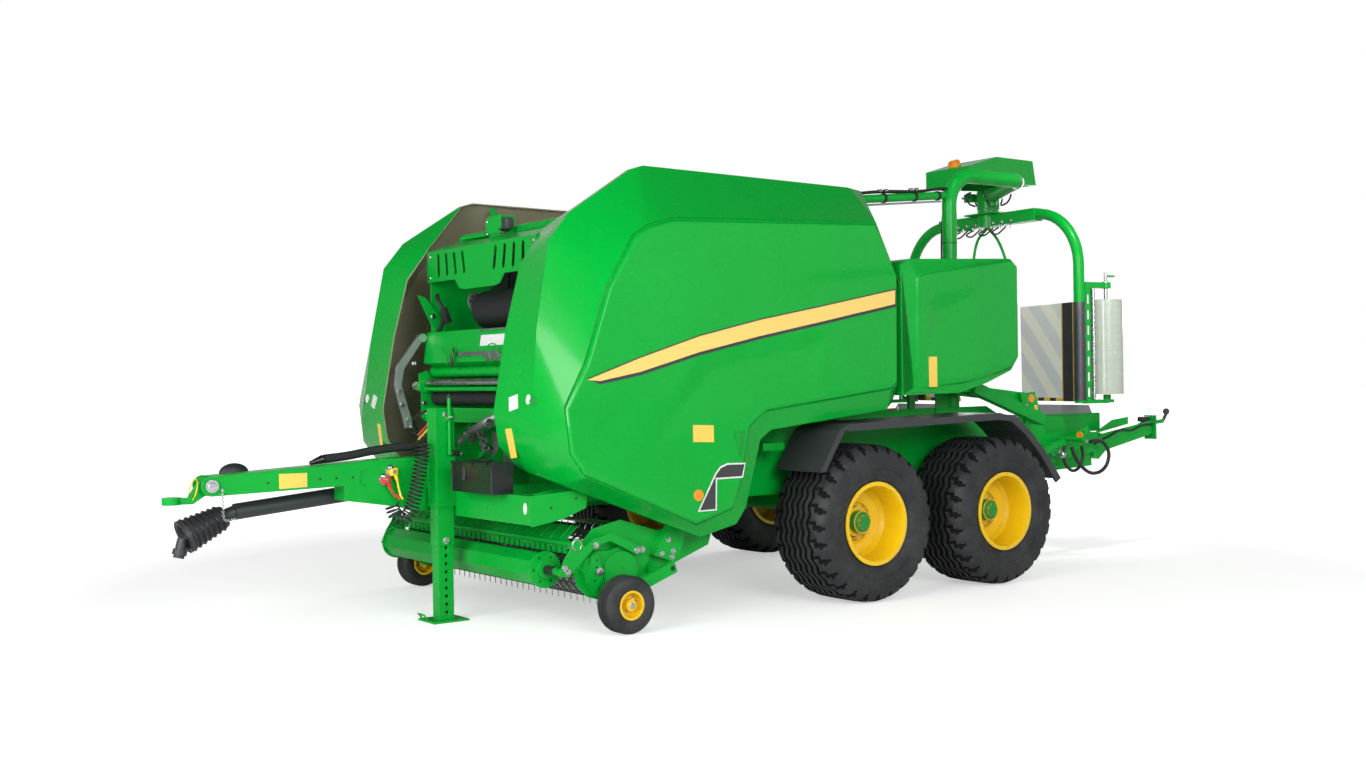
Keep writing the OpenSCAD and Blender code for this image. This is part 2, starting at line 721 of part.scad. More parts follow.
module fenders() {
    n = len(fender_line);
    // outline moved down by t
    under = function (t) [for (i = [n - 1 : -1 : 0])
        fender_line[i] + (i < 3 ? [t, 0] : i < 5 ? [0, -t] : [-t, -t * 0.6])];
    from_axle() color(black) both() {
        side_plate(concat(fender_line, under(10)), 1000, 432);
        // rolled outer lip
        side_plate(concat(fender_line, under(48)), 1432, 8);
        side_plate(concat(under(48), [for (i = [n - 1 : -1 : 0]) under(40)[i]]), 1420, 12);
        for (y = [100, 1100])
            block([954, y, 1182], [92, 40, 12]);
    }
}

// ---------------------------------------------------------------- pickup
// outline of the round shield beside the reel, [y, z]
shield = [[-2060, 368], [-2030, 290], [-1972, 214], [-1880, 182], [-1780, 190], [-1700, 250],
    [-1580, 393], [-1640, 462], [-1760, 492], [-1873, 467], [-1960, 470], [-2030, 430]];

module pickup_frame() {
    from_axle() color(green) {
        both() {
            // drum end plate with its cheek back to the hinge, and the shield in front of it
            side_plate([[-2100, 368], [-2070, 270], [-2000, 200], [-1880, 165], [-1500, 260],
                [-1500, 300], [-1100, 440], [-1080, 500], [-1130, 550], [-1500, 560],
                [-1760, 640], [-1960, 600], [-2060, 500]], 1100, 8);
            side_plate(shield, 1108, 40);
            bar_x(1147, 1170, -1800, 340, 240);
            side_plate([[-2030, 300], [-1975, 236], [-1920, 330], [-1955, 450], [-2005, 455]],
                1147, 20);
            // bent chute plate
            side_plate([[-1431, 591], [-1328, 562], [-1309, 540], [-1369, 398], [-1403, 359],
                [-1554, 414]], 1108, 60);
            // arm and stub axle of the gauge wheel
            beam([1222, -1450, 345], [1222, gauge_y, gauge_r + 26], 40, 70);
            bar_x(1203, gauge_x + 56, gauge_y, gauge_r, 26);
            bar_x(1108, 1222, -1560, 320, 50);
            bar_x(1010, 1110, pivot_y, pivot_z, 50);
        }
        bar_x(-1104, 1104, -1400, 470, 90);
        cross_sheet(1104, [-1700, 606], [-1420, 534], 6);
        // feed sheet behind the reel
        cross_sheet(1104, [-1605, 263], [-1430, 330], 6);
    }
}

// stripper bands curling around the reel
module pickup_bands() {
    from_axle() color(grey) {
        for (i = [-14 : 14])
            translate([i * 73.5 - 14, 0, 0]) rotate([90, 0, 90]) linear_extrude(28)
                difference() {
                    union() {
                        translate([reel_y, reel_z]) circle(r = strip_r);
                        translate([reel_y, reel_z - strip_r]) square([220, 2 * strip_r]);
                    }
                    translate([reel_y, reel_z]) circle(r = strip_r - 5);
                    translate([reel_y, reel_z - strip_r + 5]) square([240, 2 * strip_r - 10]);
                }
        for (s = [-1, 1])
            block([0, reel_y + 210, reel_z + s * (strip_r - 4)], [2198, 30, 8]);
    }
}

module pickup_reel() {
    from_axle() color(steel) {
        bar_x(-reel_half + 4, reel_half - 4, reel_y, reel_z, 90);
        for (b = [0 : 4]) {
            a = b * 72 + 14;
            translate([0, reel_y, reel_z]) rotate([a, 0, 0]) {
                bar_x(-reel_half + 10, reel_half - 10, 0, -120, 30);
                for (k = [0 : tine_count - 1])
                    translate([(k + 0.5 - tine_count / 2) * 73.5, 0, -110])
                        rotate([-10, 0, 0]) translate([0, 0, -tine_r + 112])
                            cylinder(h = tine_r - 112, d = 7);
                for (x = [-reel_half + 40, 0, reel_half - 52])
                    block([x + 6, 0, -80], [12, 50, 90]);
            }
        }
    }
}

// outline of the windguard's arm: from the roller's bearing over the ring to the hinge
guard_arm = [[-2250, 352], [-2210, 440], [-2170, 500], [-2150, 545], [-2110, 556], [-2070, 512],
    [-2009, 546], [-1889, 574], [-1780, 530], [-1690, 486], [-1640, 480], [-1636, 442],
    [-1700, 432], [-1800, 486], [-1889, 530], [-2000, 500], [-2070, 440], [-2130, 385],
    [-2180, 340]];
bar_y = -2125;
bar_z = 524;

module windguard() {
    from_axle() color(green) {
        both() {
            side_plate(guard_arm, 1183, 10);
            bar_x(1178, 1200, bar_y, bar_z, 64);
            bar_x(guard_half + 127, 1185, guard_y, guard_z, 42);
        }
        // tube and strap across the machine
        bar_x(-1184, 1184, bar_y, bar_z, 34);
        block([0, bar_y + 20, bar_z - 16], [2200, 44, 8]);
        // comb sheet
        cross_sheet(1060, [bar_y + 6, bar_z + 10], [bar_y + 96, bar_z + 90], 5);
        for (i = [-9 : 9])
            translate([i * 110 - 8, bar_y + 10, bar_z + 16]) rotate([41.6, 0, 0])
                cube([16, 112, 8]);
    }
    // toothed rubber strip
    from_axle() color(black)
        for (i = [-17 : 17])
            block([i * 62, bar_y + 8, bar_z - 40], [44, 8, 42]);
}

module windguard_roller() {
    from_axle() color(green) {
        translate([-guard_half + 15, guard_y, guard_z]) rotate([0, 90, 0]) rotate([0, 0, 12])
            difference() {
                cylinder(h = 2 * guard_half - 30, d = 202, $fn = 8);
                translate([0, 0, 8]) cylinder(h = 2 * guard_half - 46, d = 184, $fn = 8);
            }
        both() {
            difference() {
                bar_x(guard_half - 16, guard_half, guard_y, guard_z, 216);
                for (a = [0 : 60 : 300])
                    bar_x(guard_half - 20, guard_half + 4, guard_y + 78 * cos(a),
                        guard_z + 78 * sin(a), 16);
            }
            bar_x(guard_half - 1, guard_half + 16, guard_y, guard_z, 110);
            bar_x(guard_half + 15, guard_half + 121, guard_y, guard_z, 50);
        }
    }
}

// ---------------------------------------------------------------- wrapper
module wrapper_frame() {
    from_axle() color(green) {
        both() {
            // two slanting beams over the rear wheel
            beam([1105, 1330, 1385], [1105, 2090, 1130], 70, 84);
            beam([1010, 1250, 1370], [1010, 2040, 1290], 60, 80);
            side_plate([[1900, 1330], [2060, 1340], [2130, 1180], [2090, 1090], [1960, 1100]],
                1042, 28);
            // side plate of the table's frame
            side_plate([[1880, 860], [2120, 1160], [2360, 1090], [2420, 1010], [2640, 1010],
                [3060, 1000], [3060, 850], [2300, 740], [1880, 740]], 868, 12);
            beam([820, 1900, 760], [820, 3000, 800], 70, 140);
            block([766, 1880, 770], [42, 60, 100]);
            block([864, 1950, 900], [70, 100, 300]);
            // seat of the slanting beams on the frame's cheek
            side_plate([[1150, 1100], [1290, 1100], [1290, 1420], [1150, 1420]], 908, 8);
            block([985, 1270, 1380], [154, 60, 60]);
            block([1086, 1292, 1380], [50, 104, 60]);
            // linkage and bracket under the table
            rod([930, 2260, 860], [930, 2560, 930], 70);
            bar_x(880, 960, 2420, 890, 110);
            block([1040, 2590, 985], [150, 10, 90]);
            side_plate([[2560, 960], [2820, 1060], [2860, 1010], [2600, 910]], 950, 8);
            bar_x(860, 1110, 2590, 960, 40);
            // arm of the rear lamps
            side_plate([[3000, 800], [3000, 930], [3120, 985], [3780, 1075], [3780, 960],
                [3160, 850], [3060, 780]], 820, 60);
            side_plate([[3040, 980], [3300, 1090], [3500, 1110], [3500, 1050]], 834, 8);
            block([850, 3790, 1015], [110, 14, 200]);
            rod([850, 3796, 1050], [850, 3960, 1062], 34);
        }
        bar_x(-830, 830, 2250, 790, 90);
    }
}

table_y1 = 2380;
table_y2 = 3160;
table_z = 1090;

module wrap_table() {
    from_axle() color(green) {
        both() {
            side_plate([[table_y1 - 90, table_z - 90], [table_y2 + 90, table_z - 90],
                [table_y2 + 90, table_z + 60], [table_y1 - 90, table_z + 60]], 740, 10);
            bar_x(738, 780, 2500, 930, 60);
            side_plate([[2440, 900], [2560, 900], [2620, 1010], [2400, 1010]], 740, 10);
        }
        bar_x(-742, 742, 2500, 930, 60);
    }
}

module table_belts() {
    from_axle() color(grey) {
        for (y = [table_y1, table_y2])
            bar_x(-736, 736, y, table_z, 110);
        for (i = [-3 : 3])
            translate([i * 190 - 80, table_y1, table_z + 55.5]) cube([160, table_y2 - table_y1, 6]);
        // pale cheek guards of the table
        both() side_plate([[table_y1 - 20, 1150], [table_y1 + 60, 1235], [table_y2 - 60, 1215],
            [table_y2 - 20, 1150]], 751, 8);
    }
}

portal_x = 880;
portal_y = 1360;
portal_top = 2960;
portal_bend = 240;
portal_run = 440;
portal_knee = 200;
portal_turn = 54;

module portal() {
    straight = portal_top - portal_bend - 1240;
    y2 = portal_y + portal_bend + portal_run;
    from_axle() color(green) {
        // leg, bend towards the rear, run, knee inwards and arm to the rotor's hub
        translate([portal_x, portal_y, 1240]) cylinder(h = straight, d = portal_d);
        translate([portal_x, portal_y + portal_bend, portal_top - portal_bend])
            rotate([90, 0, -90]) elbow(portal_bend, portal_d, 90);
        translate([portal_x, portal_y + portal_bend, portal_top]) rotate([-90, 0, 0])
            cylinder(h = portal_run, d = portal_d);
        translate([portal_x - portal_knee, y2, portal_top])
            elbow(portal_knee, portal_d, portal_turn);
        translate([portal_x - portal_knee + portal_knee * cos(portal_turn),
            y2 + portal_knee * sin(portal_turn), portal_top])
            rotate([0, 0, portal_turn]) rotate([-90, 0, 0])
                translate([0, 0, -5]) cylinder(h = 930, d = portal_d - 3);
        translate([0, rotor_y, 2862]) cylinder(h = 158, d = 190);
        // brace bar from the baler and its clamp
        rod([portal_x, 320, 2705], [portal_x, 1318, 2800], 58);
        block([portal_x - 65, 320, 2690], [190, 40, 100]);
    }
}

module hood() {
    from_axle() color(green) {
        difference() {
            side_plate([[2290, 3030], [2290, 3175], [2610, 3270], [3060, 3268], [3100, 3065]],
                -245, 490);
            side_plate([[2298, 3000], [2298, 3168], [2612, 3262], [3054, 3260], [3094, 3000]],
                -237, 474);
        }
        translate([0, rotor_y, 3020]) cylinder(h = 244, d = 60);
    }
}

module beacon() {
    from_axle() color(orange) {
        translate([0, 2376, 3201.5]) rotate([16.5, 0, 0]) {
            cylinder(h = 34, d = 104);
            translate([0, 0, 34]) cylinder(h = 20, d1 = 104, d2 = 70);
        }
    }
}

// twin arms hanging from a turning beam, each with the frame of its film stretcher
frame_at = 78;
spindle_at = 300;

module wrap_rotor() {
    bend = 440;
    from_axle() color(green) translate([0, rotor_y, 0]) rotate([0, 0, rotor_turn]) {
        translate([0, 0, beam_z - 50]) cylinder(h = 138, d = 180);
        translate([-170, -120, beam_z + 50]) cube([340, 240, 12]);
        for (s = [0, 180]) rotate([0, 0, s]) {
            translate([0, -50, beam_z - 50]) cube([570, 100, 100]);
            translate([rotor_r - bend, 0, beam_z - bend]) rotate([90, 0, 0])
                rotate_extrude(angle = 90) translate([bend, 0]) circle(d = arm_d);
            translate([rotor_r, 0, 1240]) cylinder(h = beam_z - bend - 1240, d = arm_d);
            // slotted post beside the arm
            difference() {
                translate([rotor_r - 28, frame_at - 36, 1235]) cube([56, 56, 945]);
                translate([rotor_r - 22, frame_at - 30, 1230]) cube([44, 60, 960]);
                for (i = [0 : 6])
                    translate([rotor_r - 40, frame_at - 18, 1290 + i * 122]) cube([80, 22, 70]);
            }
            // upper and lower swing arms with the film roll's spindles
            translate([rotor_r - 25, frame_at - 30, 2150]) cube([50, 250, 44]);
            translate([rotor_r, spindle_at, 2150]) cylinder(h = 44, d = 80);
            translate([rotor_r, spindle_at, 2062]) cylinder(h = 210, d = 26);
            translate([rotor_r - 12, spindle_at, 2240]) cube([24, 90, 14]);
            translate([rotor_r - 25, frame_at - 30, 1235]) cube([50, 250, 30]);
            translate([rotor_r, spindle_at, 1240]) cylinder(h = 24, d = 110);
            translate([rotor_r, spindle_at, 1240]) cylinder(h = 62, d = 60);
            // stay between arm and post
            for (z = [1300, 2080])
                translate([rotor_r - 12, 0, z]) cube([24, 60, 40]);
        }
    }
}

module stretch_rollers() {
    from_axle() color(steel) translate([0, rotor_y, 0]) rotate([0, 0, rotor_turn])
        for (s = [0, 180]) rotate([0, 0, s]) {
            translate([rotor_r - 8, 150, 1265]) cylinder(h = 885, d = 38);
            translate([rotor_r + 30, 126, 1272]) cylinder(h = 870, d = 26);
        }
}

// safety sheets hanging inwards from the arms
sheet_reach = 800;
sheet_turn = 14;

module wrap_sheets() {
    from_axle() color(cloth) translate([0, rotor_y, 0]) rotate([0, 0, rotor_turn])
        for (s = [0, 180]) rotate([0, 0, s])
            translate([rotor_r - 50, -10, 1250]) rotate([0, 0, 180 - sheet_turn])
                translate([0, -2, 0]) cube([sheet_reach, 4, 790]);
}

module film_roll(s) {
    from_axle() color(film_green) translate([0, rotor_y, 0]) rotate([0, 0, rotor_turn + s])
        translate([rotor_r, spindle_at, 1306]) difference() {
            cylinder(h = film_len, d = film_d);
            translate([0, 0, -1]) cylinder(h = film_len + 2, d = 76);
        }
}

module film_roll_left() { film_roll(0); }
module film_roll_right() { film_roll(180); }

module rear_lights() {
    from_axle() color(black) both() {
        rod([850, 3971, 1073], [850, 4008, 1118], 26);
        translate([850, 4010, 1140]) sphere(d = 54);
    }
}

// ---------------------------------------------------------------- hoses
// coiled air hoses hanging beside the jack, as one tube of the coil's outer size
coil_path = [[200, -2600, 1110], [200, -2610, 1020], [200, -2627, 930], [200, -2647, 840],
    [200, -2670, 750], [200, -2700, 680], [200, -2745, 650], [200, -2790, 676], [200, -2815, 740]];
// hydraulic hoses in their sleeve, lying along the top of the drawbar
sleeve_path = [[-20, -3150, 1026], [-20, -3000, 1038], [-20, -2850, 1060], [-20, -2700, 1075],
    [-20, -2560, 1080], [-30, -2440, 1085], [-30, -2300, 1090]];

module air_hoses() {
    from_axle() color(black) {
        swept_tube(coil_path, 96, 12);
        swept_tube(sleeve_path, 56, 10);
    }
}

// loops of hydraulic hose hanging under the wrapping table
loop_path = [[1010, 2560, 900], [1020, 2590, 820], [1030, 2660, 740], [1030, 2760, 690],
    [1030, 2870, 690], [1030, 2960, 740], [1025, 3000, 830], [1015, 2960, 910],
    [1005, 2880, 940], [1000, 2800, 930]];
loop_path_2 = [[980, 2520, 910], [975, 2500, 830], [975, 2540, 750], [975, 2620, 710],
    [975, 2700, 740], [975, 2740, 820], [980, 2720, 900]];

module rear_hoses() {
    from_axle() color(black) {
        swept_tube(loop_path, 30, 10);
        swept_tube(loop_path_2, 26, 10);
    }
}

main_frame();
bumper();
axles();
drawbar();
towing_eye();
pto_shaft();
gearbox();
toolbox();
toolbox_lid();
jack_tube();
jack_leg();
grille_panel();
net_cradle();
chamber_rollers();
net_roll();
net_brake();
chamber_walls();
chamber_belts();
door_left();
door_right();
stripe_left();
stripe_right();
tailgate();
storage_boxes();
fenders();
tyre_front_left();
tyre_front_right();
tyre_rear_left();
tyre_rear_right();
rim_front_left();
rim_front_right();
rim_rear_left();
rim_rear_right();
gauge_tyre_left();
gauge_tyre_right();
gauge_rim_left();
gauge_rim_right();
pickup_frame();
pickup_bands();
pickup_reel();
windguard();
windguard_roller();
wrapper_frame();
wrap_table();
table_belts();
portal();
hood();
beacon();
wrap_rotor();
stretch_rollers();
wrap_sheets();
film_roll_left();
film_roll_right();
rear_lights();
air_hoses();
rear_hoses();
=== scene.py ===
"""Looks of the towed round baler and wrapper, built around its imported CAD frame.

Metres, +Z up, the towing eye leads towards -Y and the machine's left side is +X.
Fore-and-aft places are counted from the front tandem axle, as in the part's source.
"""

import json
import math

import bmesh
import bpy
from mathutils import Matrix, Vector
from mathutils.bvhtree import BVHTree


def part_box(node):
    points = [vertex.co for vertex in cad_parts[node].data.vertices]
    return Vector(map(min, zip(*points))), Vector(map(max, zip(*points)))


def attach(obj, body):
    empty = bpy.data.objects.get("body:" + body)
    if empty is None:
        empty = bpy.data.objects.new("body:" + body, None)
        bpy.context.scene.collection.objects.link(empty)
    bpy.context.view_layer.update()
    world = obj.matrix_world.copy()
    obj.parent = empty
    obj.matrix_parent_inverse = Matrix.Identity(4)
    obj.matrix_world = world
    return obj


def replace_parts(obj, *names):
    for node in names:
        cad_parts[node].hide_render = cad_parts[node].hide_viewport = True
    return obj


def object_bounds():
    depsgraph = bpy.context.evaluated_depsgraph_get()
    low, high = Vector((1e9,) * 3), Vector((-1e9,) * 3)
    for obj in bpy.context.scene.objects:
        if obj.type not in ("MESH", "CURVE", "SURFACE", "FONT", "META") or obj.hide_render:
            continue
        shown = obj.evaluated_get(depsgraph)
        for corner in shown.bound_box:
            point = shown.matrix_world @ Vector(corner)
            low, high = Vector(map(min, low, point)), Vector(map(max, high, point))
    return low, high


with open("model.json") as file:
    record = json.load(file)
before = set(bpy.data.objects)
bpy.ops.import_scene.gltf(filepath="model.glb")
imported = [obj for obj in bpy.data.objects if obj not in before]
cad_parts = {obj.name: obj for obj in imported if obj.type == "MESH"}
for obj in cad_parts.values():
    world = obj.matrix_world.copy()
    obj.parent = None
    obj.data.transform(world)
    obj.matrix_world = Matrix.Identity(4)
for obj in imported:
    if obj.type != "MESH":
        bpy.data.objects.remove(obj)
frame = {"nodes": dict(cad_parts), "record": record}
NODES = frame["nodes"]
CAD_LOW, CAD_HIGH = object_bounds()
SIDES = (("left", 1), ("right", -1))
X, Y, Z = Matrix.Identity(3)


def span(node):
    """Middle and extent of a node's box."""
    low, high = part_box(node)
    return (low + high) / 2, high - low


def middle(node):
    return span(node)[0]


AXLE = middle("tyre_front_left").y


def at(x, y, z):
    """A place whose y is counted from the front tandem axle."""
    return Vector((x, y + AXLE, z))


# flat face of the doors, a place ahead of the machine, the wrapping rotor and the parking jack
DOOR_X = 1.4
AHEAD = -4
ROTOR_Y = 2.78
ROTOR_TURN = math.radians(-5)
JACK_X, JACK_Y = 0.18, -2.467


# ---------------------------------------------------------------- colours, linear
GREEN = (0.0, 0.37, 0.034)
DEEP_GREEN = (0.0, 0.27, 0.026)
YELLOW = (0.86, 0.55, 0.004)
PALE_YELLOW = (0.90, 0.62, 0.16)
BLACK = (0.018, 0.019, 0.021)
WHITE = (0.80, 0.80, 0.80)
LINING = (0.36, 0.33, 0.22)
ORANGE = (0.95, 0.28, 0.01)
RED = (0.70, 0.02, 0.015)


# ---------------------------------------------------------------- materials
MATERIALS = {}


class Tree:
    """The node tree of a material or a world."""

    def __init__(self, owner, space="Object"):
        owner.use_nodes = True
        self.nodes, self.links = owner.node_tree.nodes, owner.node_tree.links
        self.shader = self.nodes.get("Principled BSDF")
        self.place = self.add("ShaderNodeTexCoord").outputs[space]

    def add(self, kind, inputs=None, **settings):
        node = self.nodes.new(kind)
        for key, value in settings.items():
            setattr(node, key, value)
        for key, value in (inputs or {}).items():
            if isinstance(value, bpy.types.NodeSocket):
                self.links.new(value, node.inputs[key])
            else:
                node.inputs[key].default_value = value
        return node

    def noise(self, scale, detail=3.0, stretch=(1, 1, 1)):
        spread = self.add("ShaderNodeMapping", {"Vector": self.place, "Scale": stretch})
        return self.add("ShaderNodeTexNoise", {"Vector": spread.outputs[0], "Scale": scale,
                "Detail": detail}).outputs["Fac"]

    def ranged(self, value, low, high, start=0.3, end=0.7, **settings):
        """Low to high as the value goes from start to end."""
        return self.add("ShaderNodeMapRange", {"Value": value, "From Min": start, "From Max": end,
                "To Min": low, "To Max": high}, **settings).outputs[0]

    def mix(self, factor, a, b):
        def rgba(c):
            return c if isinstance(c, bpy.types.NodeSocket) else (*c, 1)
        return self.add("ShaderNodeMix", {"Factor": factor, 6: rgba(a), 7: rgba(b)},
                data_type="RGBA").outputs[2]

    def maths(self, kind, a, b=0.0):
        return self.add("ShaderNodeMath", {0: a, 1: b}, operation=kind).outputs[0]

    def color(self, socket):
        self.links.new(socket, self.shader.inputs["Base Color"])

    def roughness(self, socket):
        self.links.new(socket, self.shader.inputs["Roughness"])

    def set(self, values):
        for key, value in values.items():
            self.shader.inputs[key].default_value = value

    def bump(self, height, depth, normal=None):
        inputs = {"Height": height, "Distance": depth}
        if normal:
            inputs["Normal"] = normal
        node = self.add("ShaderNodeBump", inputs)
        self.links.new(node.outputs[0], self.shader.inputs["Normal"])
        return node.outputs[0]


def material_tree(look, name=None):
    """Tree of a new material, which is kept under its look."""
    MATERIALS[look] = bpy.data.materials.new(name or look)
    return Tree(MATERIALS[look])


def shade(color, factor):
    return tuple(min(1.0, c * factor) for c in color)


def surface(look, color, rough, metal=0.0, coat=0.0, spread=0.07, mottle=0.07, grain=600.0,
        grain_depth=0.0003, wear_and_highlight=None, edge=0.004, stretch=(1, 1, 1), shine=0.5):
    """Colour that drifts a little, uneven gloss, fine grain, edges that catch light; paler edges
    are wear and painted highlight.
    """
    t = material_tree(look)
    drift = t.noise(2.2, 4.0, stretch)
    tone = t.mix(t.ranged(drift, 0, 1), shade(color, 1 - mottle), shade(color, 1 + mottle))
    smudge = t.ranged(t.noise(9.0, 6.0, stretch), rough - spread, rough + spread)
    t.roughness(smudge)
    rounded = t.add("ShaderNodeBevel", {"Radius": edge}, samples=4).outputs[0]
    # edges painted paler in patches: partly rubbed paint, partly a painted highlight along the
    # edges
    if wear_and_highlight:
        flat = t.add("ShaderNodeNewGeometry").outputs["Normal"]
        meet = t.add("ShaderNodeVectorMath", {0: rounded, 1: flat}, operation="DOT_PRODUCT")
        edge_patches = t.ranged(t.noise(60.0, 5.0), 0, 1, 0.45, 0.6)
        rim = t.ranged(meet.outputs["Value"], 0.55, 0, 0.86, 0.99)
        tone = t.mix(t.maths("MULTIPLY", rim, edge_patches), tone, wear_and_highlight)
    t.color(tone)
    t.bump(t.noise(grain, 2.0), grain_depth, rounded)
    t.set({"Metallic": metal, "Specular IOR Level": shine, "Coat Weight": coat,
            "Coat Roughness": 0.08})


def tyre_rubber():
    t = material_tree("tyre", "tyre_rubber")
    dust = t.ranged(t.noise(7.0, 6.0), 0, 1, 0.4, 0.75)
    t.color(t.mix(dust, (0.018, 0.019, 0.021), (0.040, 0.041, 0.043)))
    t.roughness(t.ranged(t.noise(30.0, 4.0), 0.50, 0.72))
    t.bump(t.noise(900.0, 3.0), 0.0006)


def film_wrap():
    """Stretch film: pale green, glossy, with faint winding lines."""
    t = material_tree("film", "film_wrap")
    lines = t.noise(1.0, 3.0, (3, 3, 240))
    t.color(t.mix(t.ranged(lines, 0, 1), (0.44, 0.50, 0.41), (0.50, 0.56, 0.47)))
    t.roughness(t.ranged(t.noise(20.0), 0.16, 0.30))
    t.bump(lines, 0.0003)
    t.set({"Coat Weight": 0.5, "Subsurface Weight": 0.15, "Subsurface Radius": (0.01, 0.012, 0.01)})


def banner_cloth():
    """Woven safety sheet with slanting grey and cream bands."""
    t = material_tree("cloth", "banner_cloth")
    uv = t.add("ShaderNodeSeparateXYZ", {0: t.add("ShaderNodeUVMap").outputs[0]}).outputs
    slant = t.maths("ADD", t.maths("MULTIPLY", uv[0], -2.3), t.maths("MULTIPLY", uv[1], 2.5))
    part = t.maths("FRACT", slant)
    band = t.ranged(part, 0, 1, 0.50, 0.53)
    start = t.ranged(part, 1, 0, 0.03, 0.05)
    weave = t.ranged(t.noise(420.0, 2.0, (1, 1, 2.5)), 0, 1, 0.35, 0.65)
    grey = t.mix(weave, (0.70, 0.71, 0.72), (0.86, 0.87, 0.87))
    cream = t.mix(weave, (0.97, 0.95, 0.82), (0.98, 0.97, 0.88))
    t.color(t.mix(t.maths("MAXIMUM", band, start), cream, grey))
    t.roughness(t.ranged(weave, 0.6, 0.85))
    t.bump(weave, 0.0003)


surface("green_paint", GREEN, 0.32, coat=0.15, shine=0.22, wear_and_highlight=(0.16, 0.42, 0.18))
surface("green_panel", GREEN, 0.26, coat=0.32, shine=0.22, mottle=0.03, spread=0.04, grain=350.0,
        grain_depth=0.00007, edge=0.006)
surface("yellow_paint", YELLOW, 0.30, coat=0.35, wear_and_highlight=(0.75, 0.60, 0.25))
surface("stripe_yellow", PALE_YELLOW, 0.35, coat=0.3, mottle=0.05, stretch=(1, 0.2, 14),
        edge=0.0005)
surface("label_yellow", (0.90, 0.60, 0.10), 0.40, coat=0.2, edge=0.0005)
surface("black_rubber", BLACK, 0.50, grain=900.0, grain_depth=0.0004, edge=0.002)
surface("black_plastic", (0.040, 0.043, 0.047), 0.42, grain=1400.0, grain_depth=0.0005,
        wear_and_highlight=(0.12, 0.12, 0.12), edge=0.003)
surface("gloss_black", (0.010, 0.011, 0.013), 0.24, coat=0.3, edge=0.003)
surface("steel", (0.62, 0.63, 0.64), 0.26, metal=1.0, mottle=0.12, spread=0.10, grain=300.0,
        stretch=(1, 1, 6), edge=0.002)
surface("grey_iron", (0.34, 0.35, 0.36), 0.45, metal=0.75, mottle=0.16, spread=0.12, grain=500.0,
        grain_depth=0.0008, wear_and_highlight=(0.55, 0.55, 0.55))
surface("dark_iron", (0.10, 0.10, 0.11), 0.42, metal=0.7, mottle=0.2)
surface("orange_lens", ORANGE, 0.16, coat=1.0, mottle=0.10, edge=0.001)
surface("red_cap", RED, 0.25, coat=0.6, edge=0.001)
surface("yellow_cap", (0.90, 0.62, 0.01), 0.25, coat=0.6, edge=0.001)
surface("white_mark", WHITE, 0.30, coat=0.4, mottle=0.03, edge=0.0005)
surface("lining", LINING, 0.60, mottle=0.06, grain=260.0, grain_depth=0.0010)
surface("deep_green", DEEP_GREEN, 0.34, coat=0.3, wear_and_highlight=(0.14, 0.36, 0.16))
surface("lamp_red", (0.30, 0.05, 0.04), 0.18, coat=1.0, edge=0.001)
tyre_rubber()
# near-black colour of the tread's groove faces: painted shade in the grooves
surface("groove_shade", (0.005, 0.005, 0.006), 0.80, shine=0.2, edge=0.001)
film_wrap()
banner_cloth()


def dress_frame():
    """Every CAD node gets the material of its slot."""
    own = {"pickup_bands": "dark_iron", "net_roll": "black_rubber", "chamber_belts": "black_rubber",
            "towing_eye": "green_paint", "toolbox": "gloss_black", "toolbox_lid": "gloss_black"}
    for entry in frame["record"]["subparts"]:
        node = NODES[entry["node"]]
        node.data.materials.clear()
        node.data.materials.append(MATERIALS[own.get(entry["node"], entry["material_slot"])])


